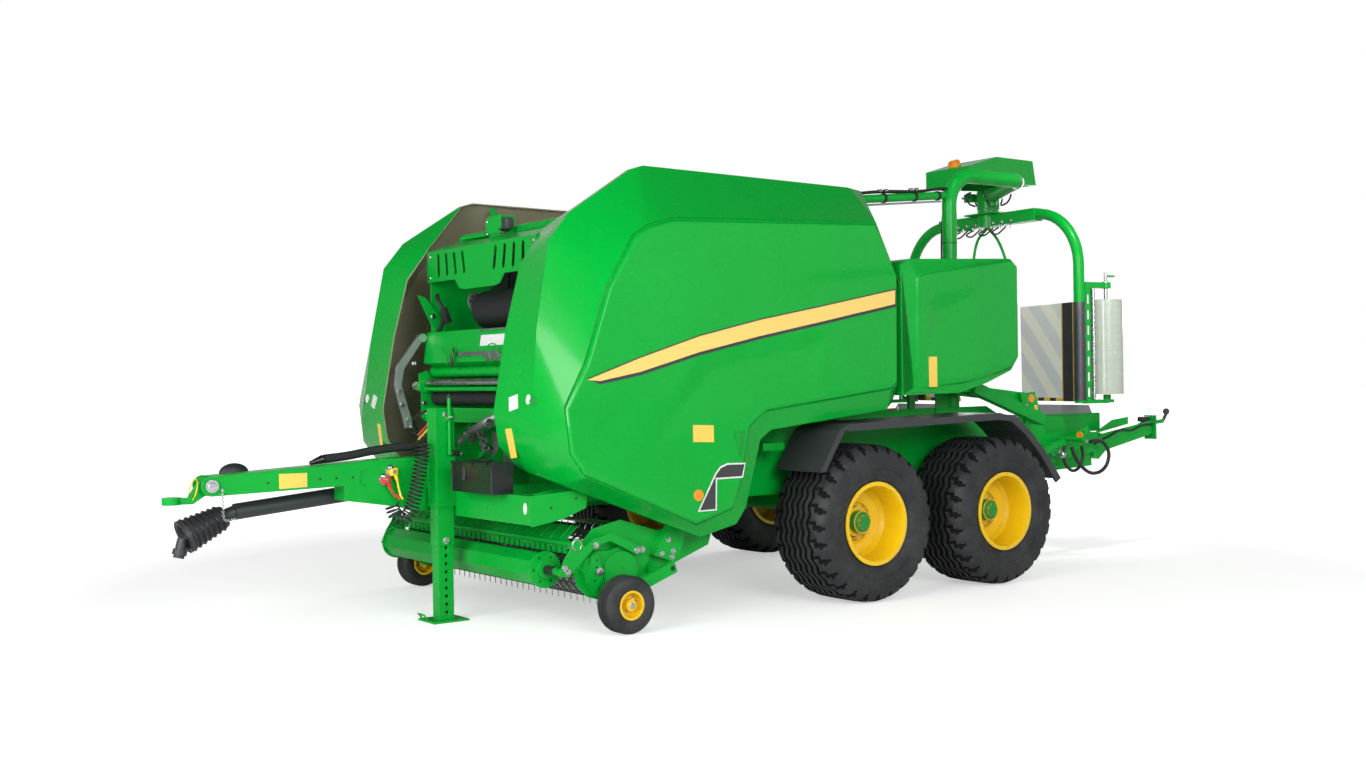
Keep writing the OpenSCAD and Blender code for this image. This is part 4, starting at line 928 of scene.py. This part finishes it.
def jack():
    """Crank, pins and corners of the parking jack, and the toolbox's straps."""
    y = JACK_Y
    metal = Form().ring(at(0.256, y + 0.020, 1.262), Z, 0.040, 0.012, 20)
    metal.pin(at(0.215, y + 0.020, 1.262), X, 0.103, 0.015)
    metal.pin(at(0.222, y - 0.004, 1.245), Z, 0.047, 0.017)
    metal.bolt(at(0.2302, y, 0.500), X, 0.024)
    metal.bolt(at(0.2362, y, 1.282), X, 0.016)
    metal.ball(at(0.256, y + 0.096, 1.033), 0.026)
    metal.piece("jack_fittings", "steel")
    grip = Form().pin(at(0.256, y + 0.020, 1.380), Z, 0.023, 0.032)
    grip.rod(at(0.256, y + 0.034, 1.0405), at(0.256, y + 0.086, 1.0335), 0.034)
    grip.piece("jack_grip", "black_rubber")
    rims = Form()
    for x, dy in ((-0.056, -0.062), (0.056, -0.062), (0.056, 0.062), (-0.056, 0.062)):
        rims.pin(at(JACK_X + x * 0.99, y + dy * 0.99, 0.735), Z, 0.579, 0.007)
    rims.piece("jack_corners", "green_paint")
    # toolbox hinge straps and the shut line of its lid
    box = Form().block(at(0.56, -2.5125, 0.930), (0.026, 0.006, 0.075), soft=0.002)
    box.block(at(0.56, -2.516, 0.905), (0.034, 0.008, 0.022), soft=0.002)
    for x in (0.405, 0.895):
        box.block(at(x, -2.511, 0.9), (0.008, 0.004, 0.160))
    box.piece("toolbox_straps", "black_plastic")


# ---------------------------------------------------------------- front of the chamber
def net_area():
    """Fittings, hoses and marks between the doors, in front of the chamber."""
    tray = surfaces_of("net_cradle")
    sheet = Form().mark(tray, at(0.250, -3, 1.742), Y, (0.36, 0.070))
    sheet.piece("tray_plate", "white_mark")
    metal = Form().pin(at(0.05, -2.124, 1.812), X, 0.61, 0.012)
    for x in (-0.690, 0.690):
        s = math.copysign(1, x)
        metal.pin(at(x, -2.13, 1.478), X, s * 0.036, 0.082)
        metal.pin(at(x, -2.13, 1.478), X, s * 0.05, 0.046)
        metal.pin(at(x + s * 0.014, -2.195, 1.455), X, s * 0.026, 0.058)
    # silver hub on top of the brake lever, and its joint bolts
    metal.pin(at(-0.706, -2.148, 1.783), X, 0.016, 0.062)
    lever_joints = ((-2.316, 1.420), (-2.300, 1.330), (-2.255, 1.230), (-2.225, 1.180))
    metal.bolts(-0.714, lever_joints, X, 0.020)
    for y, z in ((-2.140, 1.340), (-2.120, 1.270), (-2.100, 1.640), (-2.075, 1.700),
            (-2.065, 1.930)):
        for s in (1, -1):
            metal.bolt(at(s * 0.701, y, z), -s * X, 0.018)
    for k in range(3):
        metal.tube([at(-0.70, -2.225 + 0.012 * k, 1.600 + 0.020 * j) for j in (0, 1)], 0.007)
    metal.rod(at(0.30, -2.20, 1.200), at(0.335, -2.20, 1.222), 0.060)
    metal.rod(at(0.13, -2.20, 1.195), at(0.13, -2.17, 1.125), 0.016)
    for x, z in ((0.28, 1.08), (0.33, 1.06), (0.22, 1.10)):
        metal.rod(at(x, -2.20, z), at(x + 0.035, -2.225, z - 0.012), 0.030)
    metal.piece("net_fittings", "steel")
    loops = Form()
    for x in (-0.29, 0.32):
        loops.hose([(x - 0.05, -2.150, 1.600), (x - 0.055, -2.176, 1.700),
                (x + 0.055, -2.176, 1.705), (x + 0.06, -2.150, 1.600)], 0.008, 5, 8)
    loops.piece("net_loops", "green_paint")
    dark = Form()
    # a ring of holes, painted as thin dark discs for their shade
    for place in around(at(-0.377, -1.90, 2.02), 0.047, 8):
        dark.pin(place, X, 0.0018, 0.016, sides=10)
    dark.hose([(-0.655, -2.225, 1.160), (-0.560, -2.290, 1.230), (-0.360, -2.330, 1.275),
            (-0.160, -2.370, 1.295), (0.040, -2.395, 1.240)], 0.018)
    dark.hose([(-0.640, -2.270, 1.120), (-0.480, -2.330, 1.150), (-0.260, -2.380, 1.130),
            (-0.060, -2.400, 1.150), (0.100, -2.400, 1.190)], 0.016)
    dark.hose([(-0.640, -2.060, 2.070), (-0.600, -2.075, 2.040), (-0.560, -2.060, 1.960),
            (-0.600, -2.050, 1.870), (-0.640, -2.060, 1.820)], 0.030)
    dark.block(at(-0.545, -2.045, 1.930), (0.030, 0.046, 0.110), Matrix.Rotation(0.35, 4, "X"),
            0.004)
    dark.piece("net_hoses", "black_rubber")
    pipe = Form().hose([(0.105, -2.220, 1.165), (0.190, -2.210, 1.190), (0.270, -2.200, 1.225),
            (0.320, -2.150, 1.260)], 0.052, 6, 16)
    pipe.piece("drive_pipe", "grey_iron")
    for name, look, dz in (("yellow", "yellow_cap", 0.0), ("red", "red_cap", 0.030)):
        line = Form().hose([(-0.180, -2.440, 1.115 + dz), (-0.090, -2.450, 1.150 + dz),
                (0.010, -2.455, 1.195 + dz), (0.085, -2.450, 1.210 + dz)], 0.017)
        line.piece(f"front_hose_{name}", look, slot="orange_lens")


def grille():
    """Bolts of the upper grille and the work lamp above it."""
    trim = Form()
    for s in (1, -1):
        trim.bolt(at(s * 0.690, -2.088, 2.335), -Y, 0.016)
        trim.bolt(at(s * 0.690, -2.088, 2.190), -Y, 0.016)
    for z in (2.45, 2.53):
        trim.bolt(at(-0.145, -1.944, z), -Y, 0.014)
    trim.piece("grille_bolts", "steel")
    case = Form().block(at(0.030, -1.900, 2.505), (0.110, 0.060, 0.080), soft=0.010)
    case.hose([(0.02, -1.93, 2.47), (0.07, -1.97, 2.46), (0.10, -1.93, 2.42)], 0.014, 5)
    case.piece("work_lamp", "black_plastic")


# ---------------------------------------------------------------- pickup
def pickup_trim():
    """Bolts, holes and marks of the pickup, its windguard and the bumper."""
    for side, s in SIDES:
        out = s * X
        arm = Form().bolts(s * 1.193, ((-1.990, 0.512), (-1.700, 0.460), (-1.662, 0.462),
                (-2.205, 0.395), (-2.185, 0.372)), out, 0.020)
        arm.ring(at(s * 1.197, -2.125, 0.524), out, 0.062, 0.009, 24)
        arm.piece(f"guard_bolts_{side}", "steel", "windguard")
        ends = Form().pin(at(s * 1.018, -2.221, 0.372), X, s * 0.098, 0.056)
        ends.piece(f"roller_sleeve_{side}", "black_rubber", "windguard_roller")
        fit = Form().bolt(at(s * 1.167, -1.948, 0.352), out, 0.026)
        fit.bolts(s * 1.168, ((-1.450, 0.500), (-1.415, 0.430), (-1.425, 0.395), (-1.500, 0.420)),
                out, 0.018)
        fit.bolt(at(s * 1.148, -1.800, 0.440), out, 0.014)
        fit.piece(f"pickup_bolts_{side}", "steel", "pickup")
        # holes in the pickup's sides, painted as thin dark discs for their shade
        dark = Form().pin(at(s * 1.241, -1.474, 0.336), X, s * 0.0018, 0.034)
        for k in range(4):
            dark.pin(at(s * 1.166, -1.985 + 0.006 * k, 0.300 + 0.040 * k), X, s * 0.0016, 0.014)
        dark.piece(f"pickup_hole_shade_{side}", "black_rubber", "pickup")
    oval = Form()
    frame_faces = surfaces_of("bumper")
    for s in (1, -1):
        oval.mark(frame_faces, at(s * 1.085, AHEAD, 0.745), Y, (0.040, 0.066), round_mark=True)
    oval.piece("bumper_ovals", "white_mark")
    # holes in the bumper, painted as thin dark discs for their shade
    holes = Form()
    for s in (1, -1):
        for y, z in ((-2.26, 0.745), (-2.09, 0.790)):
            holes.pin(at(s * 1.139, y, z), X, s * 0.0018, 0.016)
    holes.piece("bumper_hole_shade", "black_rubber")


# ---------------------------------------------------------------- deck and under the doors
def deck():
    """Knob, handles and brackets on the deck, and the hoses below the doors."""
    red = Form().pin(at(1.225, 0.130, 1.262), X, 0.011, 0.026)
    red.ball(at(1.243, 0.130, 1.262), 0.046, (0.7, 1, 1))
    red.rod(at(1.150, 0.330, 1.247), at(1.150, 0.520, 1.250), 0.011)
    red.piece("deck_knob", "red_cap")
    steel = Form().block(at(1.232, 0.055, 1.255), (0.014, 0.080, 0.030), soft=0.003)
    for y in (0.165, 0.185):
        steel.pin(at(1.225, y, 1.250), X, 0.02, 0.014)
    for y in (0.320, 0.525):
        steel.pin(at(1.150, y, 1.240), Z, 0.028, 0.018)
    steel.bolts(0.9525, ((-0.640, 1.000), (-0.640, 0.940), (-0.700, 0.890)), X, 0.022)
    for y in (0.98, 1.06):
        steel.bolt(at(1.285, y, 1.420), Z, 0.014)
    steel.piece("deck_fittings", "steel")
    brackets = Form().block(at(0.930, -0.660, 0.940), (0.045, 0.120, 0.220), soft=0.004)
    brackets.block(at(1.010, -0.560, 1.050), (0.200, 0.180, 0.010))
    brackets.block(at(1.110, -0.560, 1.030), (0.010, 0.180, 0.050))
    brackets.mirrored()
    brackets.piece("deck_brackets", "green_paint")
    hoses = Form()
    for k in range(5):
        x, y = 0.96 + 0.030 * k, -0.800 - 0.055 * k
        hoses.hose([(x, y + 0.10, 1.050), (x + 0.020, y + 0.040, 0.900),
                (x + 0.010, y - 0.040, 0.720), (x - 0.040, y - 0.030, 0.560),
                (x - 0.120, y + 0.060, 0.520)], 0.021)
    hoses.mirrored()
    hoses.piece("side_hoses", "black_rubber")


# ---------------------------------------------------------------- wrapper
def portal_trim():
    """Hoses and ram along the portal's brace."""
    dark = Form().pin(at(0.88, 1.36, 2.446), Z, 0.006, 0.1105, sides=32)
    dark.hose([(0.825, 1.345, 1.45), (0.822, 1.335, 2.00), (0.820, 1.340, 2.55),
            (0.800, 1.420, 2.80), (0.760, 1.60, 2.895)], 0.013, 8)
    a, b = at(0.88, 0.34, 2.707), at(0.88, 1.300, 2.798)
    way = (b - a).normalized()

    def beside(share, dx, dz):
        return a.lerp(b, share) + Vector((dx, 0, dz))

    for dx, dz in ((-0.030, 0.036), (0.014, 0.040)):
        path = [beside(share, dx, dz + rise)
                for share, rise in ((0, 0), (0.33, 0.010), (0.7, 0), (1, 0.012))]
        dark.tube(smooth_path([*path, b + Vector((dx - 0.09, 0.18, 0.035))], 6), 0.017)
    for share in (0.05, 0.36, 0.68, 0.93):
        dark.pin(beside(share, 0, 0) - way * 0.012, way, 0.024, 0.068)
    dark.piece("portal_hoses", "black_rubber")
    ram = Form().rod(beside(0, 0.020, -0.044), beside(0.95, 0.020, -0.044), 0.014)
    for share in (0.30, 0.36, 0.62, 0.68):
        ram.pin(beside(share, 0.012, 0.052), way, 0.030, 0.022)
    ram.piece("portal_ram", "steel")


def rotor_trim():
    """Guide bows, hoses and hub fittings of the wrapping rotor; its arms' sleeves and spindles."""
    y = ROTOR_Y
    bows = Form().hose([(-0.532, y, 2.420), (-0.527, y, 2.465), (-0.464, y, 2.650),
            (-0.346, y, 2.722), (-0.190, y, 2.716)], 0.026, 6, 12)
    bows.hose([(0.010, y - 0.02, 2.712), (0.122, y - 0.03, 2.602), (0.190, y - 0.02, 2.450),
            (0.205, y - 0.02, 2.340)], 0.024, 6, 12)
    bows.hose([(-0.060, y + 0.04, 2.712), (-0.170, y + 0.05, 2.620), (-0.215, y + 0.05, 2.470),
            (-0.222, y + 0.05, 2.330)], 0.024, 6, 12)
    bows.piece("guide_bows", "green_paint", "wrap_rotor")
    steel = Form()
    for k in range(7):
        x = -0.36 + 0.105 * k
        steel.pin(at(x, y - 0.030, 2.722), Z, -0.032, 0.022)
        steel.bolt(at(x + 0.03, y - 0.052 - 0.087 * x, 2.745), -Y, 0.018)
    steel.pin(at(0.190, y - 0.060, 2.705), Z, 0.145, 0.010)
    steel.piece("rotor_fittings", "steel", "wrap_rotor")
    black = Form()
    for k in range(4):
        x = -0.26 + 0.14 * k
        black.hose([(x, y - 0.060, 2.700), (x - 0.030, y - 0.110, 2.660),
                (x + 0.040, y - 0.120, 2.640), (x + 0.090, y - 0.070, 2.700)], 0.014, 5)
    black.piece("rotor_hoses", "black_rubber", "wrap_rotor")
    hub = Form()
    for k in range(5):
        a = math.tau * k / 5 + 0.4
        p = Vector((0.115 * math.cos(a), 0.115 * math.sin(a), 0))
        path = [at(0, y, z) + p * share
                for z, share in ((3.015, 1.3), (2.985, 1.7), (2.920, 1.45), (2.895, 0.98))]
        hub.tube(smooth_path(path, 5), 0.015)
    hub.piece("hub_hoses", "black_rubber")
    motor = Form().block(at(0.135, y - 0.10, 2.985), (0.090, 0.110, 0.075), soft=0.006)
    motor.block(at(-0.150, y - 0.05, 2.975), (0.080, 0.090, 0.070), soft=0.006)
    motor.pin(at(0.135, y - 0.10, 2.950), Z, -0.07, 0.070)
    motor.piece("hub_motor", "deep_green")
    unions = Form()
    for dx, dz in ((0.105, 2.965), (0.135, 2.995), (0.165, 2.965)):
        unions.pin(at(dx, y - 0.155, dz), Y, -0.025, 0.020)
    for dx in (-0.175, -0.130):
        unions.pin(at(dx, y - 0.095, 2.975), Y, -0.03, 0.020)
    unions.piece("hub_unions", "steel")
    # sleeve of each arm, spindle pins and the ends of the film cores
    for k, (side, _) in enumerate(SIDES):
        spin = Matrix.Translation(at(0, y, 0)) @ Matrix.Rotation(ROTOR_TURN + math.pi * k, 4, "Z")

        def on_arm(z, beside=0.300):
            return spin @ Vector((1.0, beside, z))

        sleeve = Form().pin(on_arm(1.262, 0), Z, 0.773, 0.094, sides=28)
        sleeve.piece(f"arm_sleeve_{side}", "dark_iron", "wrap_rotor")
        pins = Form()
        for z, length, d in ((2.062, 0.087, 0.031), (2.195, 0.077, 0.028), (2.194, 0.006, 0.060)):
            pins.pin(on_arm(z), Z, length, d, sides=20)
        pins.bolt(on_arm(2.194, 0.03), Z, 0.020)
        pins.piece(f"spindle_{side}", "steel", "wrap_rotor")
        core = Form()
        for z in (1.3062, 2.0558):
            core.ring(on_arm(z), Z, 0.082, 0.0025, 32)
            core.ring(on_arm(z), Z, 0.170, 0.0012, 40)
        core.piece(f"core_rings_{side}", "lining", f"film_roll_{side}")


def rear_trim():
    """Lamps, reflectors, bolts and cables of the lamp arms and the wrapper's frame."""
    lens = Form()
    for s in (1, -1):
        lens.pin(at(s * 1.069, 2.020, 1.290), X, s * 0.007, 0.066, 0.060, 28)
        lens.pin(at(s * 1.070, 2.586, 0.990), Y, -0.008, 0.066, 0.060, 28)
    lens.piece("rear_reflectors", "orange_lens")
    plates = Form()
    for s in (1, -1):
        plates.block(at(s * 1.0702, 2.070, 1.215), (0.002, 0.036, 0.050))
    plates.piece("rear_plates", "label_yellow")
    steel = Form().ball(at(0.985, 2.480, 0.845), 0.060)
    steel.pin(at(0.960, 2.420, 0.870), X, 0.05, 0.030)
    steel.bolts(0.958, ((2.62, 0.95), (2.68, 0.975), (2.74, 1.00)), X, 0.018)
    steel.bolts(1.070, ((1.96, 1.24), (1.99, 1.15), (2.05, 1.13)), X, 0.018)
    for y in (2.20, 2.32, 2.90, 3.00):
        steel.bolt(at(0.880, y, 0.93), X, 0.018)
    for z in (0.94, 1.08):
        steel.bolt(at(0.905, 3.783, z), -Y, 0.014)
    steel.mirrored()
    steel.piece("rear_fittings", "steel")
    black = Form().hose([(0.892, 3.000, 0.905), (0.894, 3.180, 0.960), (0.894, 3.330, 1.005),
            (0.894, 3.480, 1.000), (0.893, 3.620, 1.035), (0.892, 3.770, 1.040)], 0.017)
    black.block(at(0.850, 3.700, 1.084), (0.056, 0.100, 0.040), soft=0.006)
    black.mirrored()
    black.piece("lamp_cables", "black_rubber")
    glow = Form()
    for s in (1, -1):
        glow.ball(at(s * 0.850, 4.0125, 1.1405), 0.0525, (1.0, 0.97, 1.0))
    glow.piece("rear_lamp_lenses", "lamp_red")


# ---------------------------------------------------------------- scene
def make_camera():
    """The photograph's point of view, a little above the deck and ahead of the left side."""
    eye = at(8.323, -6.616, 1.478)
    turn, down, roll = math.radians(53.506), math.radians(0.208), math.radians(0.846)
    ahead = Vector((-math.sin(turn) * math.cos(down), math.cos(turn) * math.cos(down),
            -math.sin(down)))
    right = Vector((math.cos(turn), math.sin(turn), 0))
    lower = ahead.cross(right)
    side = right * math.cos(roll) + lower * math.sin(roll)
    below = lower * math.cos(roll) - right * math.sin(roll)
    camera = link("camera", bpy.data.cameras.new("camera"))
    camera.data.sensor_width = 36
    camera.data.lens = 38.265
    camera.data.clip_end = 400
    turned = Matrix((side, -below, -ahead)).transposed().to_4x4()
    camera.matrix_world = Matrix.Translation(eye) @ turned
    bpy.context.scene.camera = camera


def lamp(name, kind, place, aim, watts, **settings):
    """A lamp that looks at a place."""
    light = link(name, bpy.data.lights.new(name, kind))
    for key, value in dict(settings, energy=watts).items():
        setattr(light.data, key, value)
    light.location = place
    light.rotation_euler = (Vector(aim) - Vector(place)).to_track_quat("-Z", "Y").to_euler()


def soft_box(name, place, aim, extent, watts):
    lamp(name, "AREA", place, aim, watts, shape="RECTANGLE", size=extent[0], size_y=extent[1])


def make_world():
    """White for the camera; a room with a bright rear wall and a dim ceiling for other rays."""
    world = bpy.data.worlds.new("studio")
    bpy.context.scene.world = world
    world.use_nodes = True
    world.node_tree.nodes.clear()
    t = Tree(world, "Generated")
    rays = t.add("ShaderNodeLightPath").outputs
    way = t.add("ShaderNodeSeparateXYZ", {0: t.place}).outputs
    glossy = rays["Is Glossy Ray"]

    def fade(socket, low, high, start, end):
        return t.ranged(socket, low, high, start, end, interpolation_type="SMOOTHSTEP")

    ceiling = fade(way["Z"], 1.0, 0.30, 0.10, 0.90)
    wall = fade(way["Y"], 0.22, 1.0, -0.45, 0.35)
    dim = fade(way["Z"], 1.0, 0.25, 0.20, 0.70)
    gleam = t.maths("MULTIPLY", t.maths("MULTIPLY", wall, dim), glossy)
    seen = t.maths("MULTIPLY", ceiling, t.maths("ADD", gleam, t.maths("SUBTRACT", 1.0, glossy)))
    strength = t.maths("MULTIPLY", seen, 0.68)
    room = t.add("ShaderNodeBackground", {"Color": (1, 1, 1, 1), "Strength": strength})
    white = t.add("ShaderNodeBackground", {"Color": (1, 1, 1, 1)})
    mix = t.add("ShaderNodeMixShader", {0: rays["Is Camera Ray"], 1: room.outputs[0],
            2: white.outputs[0]})
    t.add("ShaderNodeOutputWorld", {0: mix.outputs[0]})


def make_floor():
    """White floor that keeps the machine's soft shadow and fades into the white room."""
    t = material_tree("floor", "studio_floor")
    t.nodes.remove(t.shader)
    rays = t.add("ShaderNodeLightPath").outputs["Is Camera Ray"]
    away = t.add("ShaderNodeVectorMath", {0: t.place}, operation="LENGTH").outputs["Value"]
    lift = t.ranged(away, 0.46, 1.0, 4.5, 8.0)
    diffuse = t.add("ShaderNodeBsdfDiffuse", {"Color": (0.82, 0.82, 0.82, 1)})
    glow = t.add("ShaderNodeEmission", {"Strength": t.maths("MULTIPLY", rays, lift)})
    both = t.add("ShaderNodeAddShader", {0: diffuse.outputs[0], 1: glow.outputs[0]})
    t.links.new(both.outputs[0], t.nodes["Material Output"].inputs["Surface"])
    bm = bmesh.new()
    bmesh.ops.create_circle(bm, cap_ends=True, segments=64, radius=120)
    mesh = bpy.data.meshes.new("floor")
    bm.to_mesh(mesh)
    bm.free()
    mesh.materials.append(MATERIALS["floor"])
    floor = link("floor", mesh)
    floor.location.z = CAD_LOW.z - 0.001


def make_studio():
    make_camera()
    make_world()
    make_floor()
    soft_box("key", (3.5, -9.5, 3.2), (0, -1.0, 1.4), (6, 4), 560)
    soft_box("side", (9.5, -3.0, 4.0), (0.5, 1.6, 1.4), (5, 3), 420)
    soft_box("rear", (-4.5, 10.5, 3.5), (0, 2.0, 1.3), (5, 3), 330)
    # a blurred lamp for the sheets, which the machine itself keeps in shadow
    lamp("sheets", "SPOT", (3.2, 0.5, 6.5), (0.6, 2.9, 1.6), 1100, spot_size=math.radians(22),
            spot_blend=1.0, shadow_soft_size=0.5)
    bpy.context.scene.view_settings.view_transform = "Standard"


make_studio()
dress_frame()
cords()
for end in ("front", "rear"):
    for side, s in SIDES:
        tandem_tyre(f"tyre_{end}_{side}", f"wheel_{end}_{side}")
        wheel_trim(end, side, s)
for side, s in SIDES:
    gauge_tyre(f"gauge_tyre_{side}", f"gauge_wheel_{side}")
    gauge_trim(side, s)
doors()
stripes()
storage()
hitch()
jack()
net_area()
grille()
pickup_trim()
deck()
portal_trim()
rotor_trim()
rear_trim()
banners()
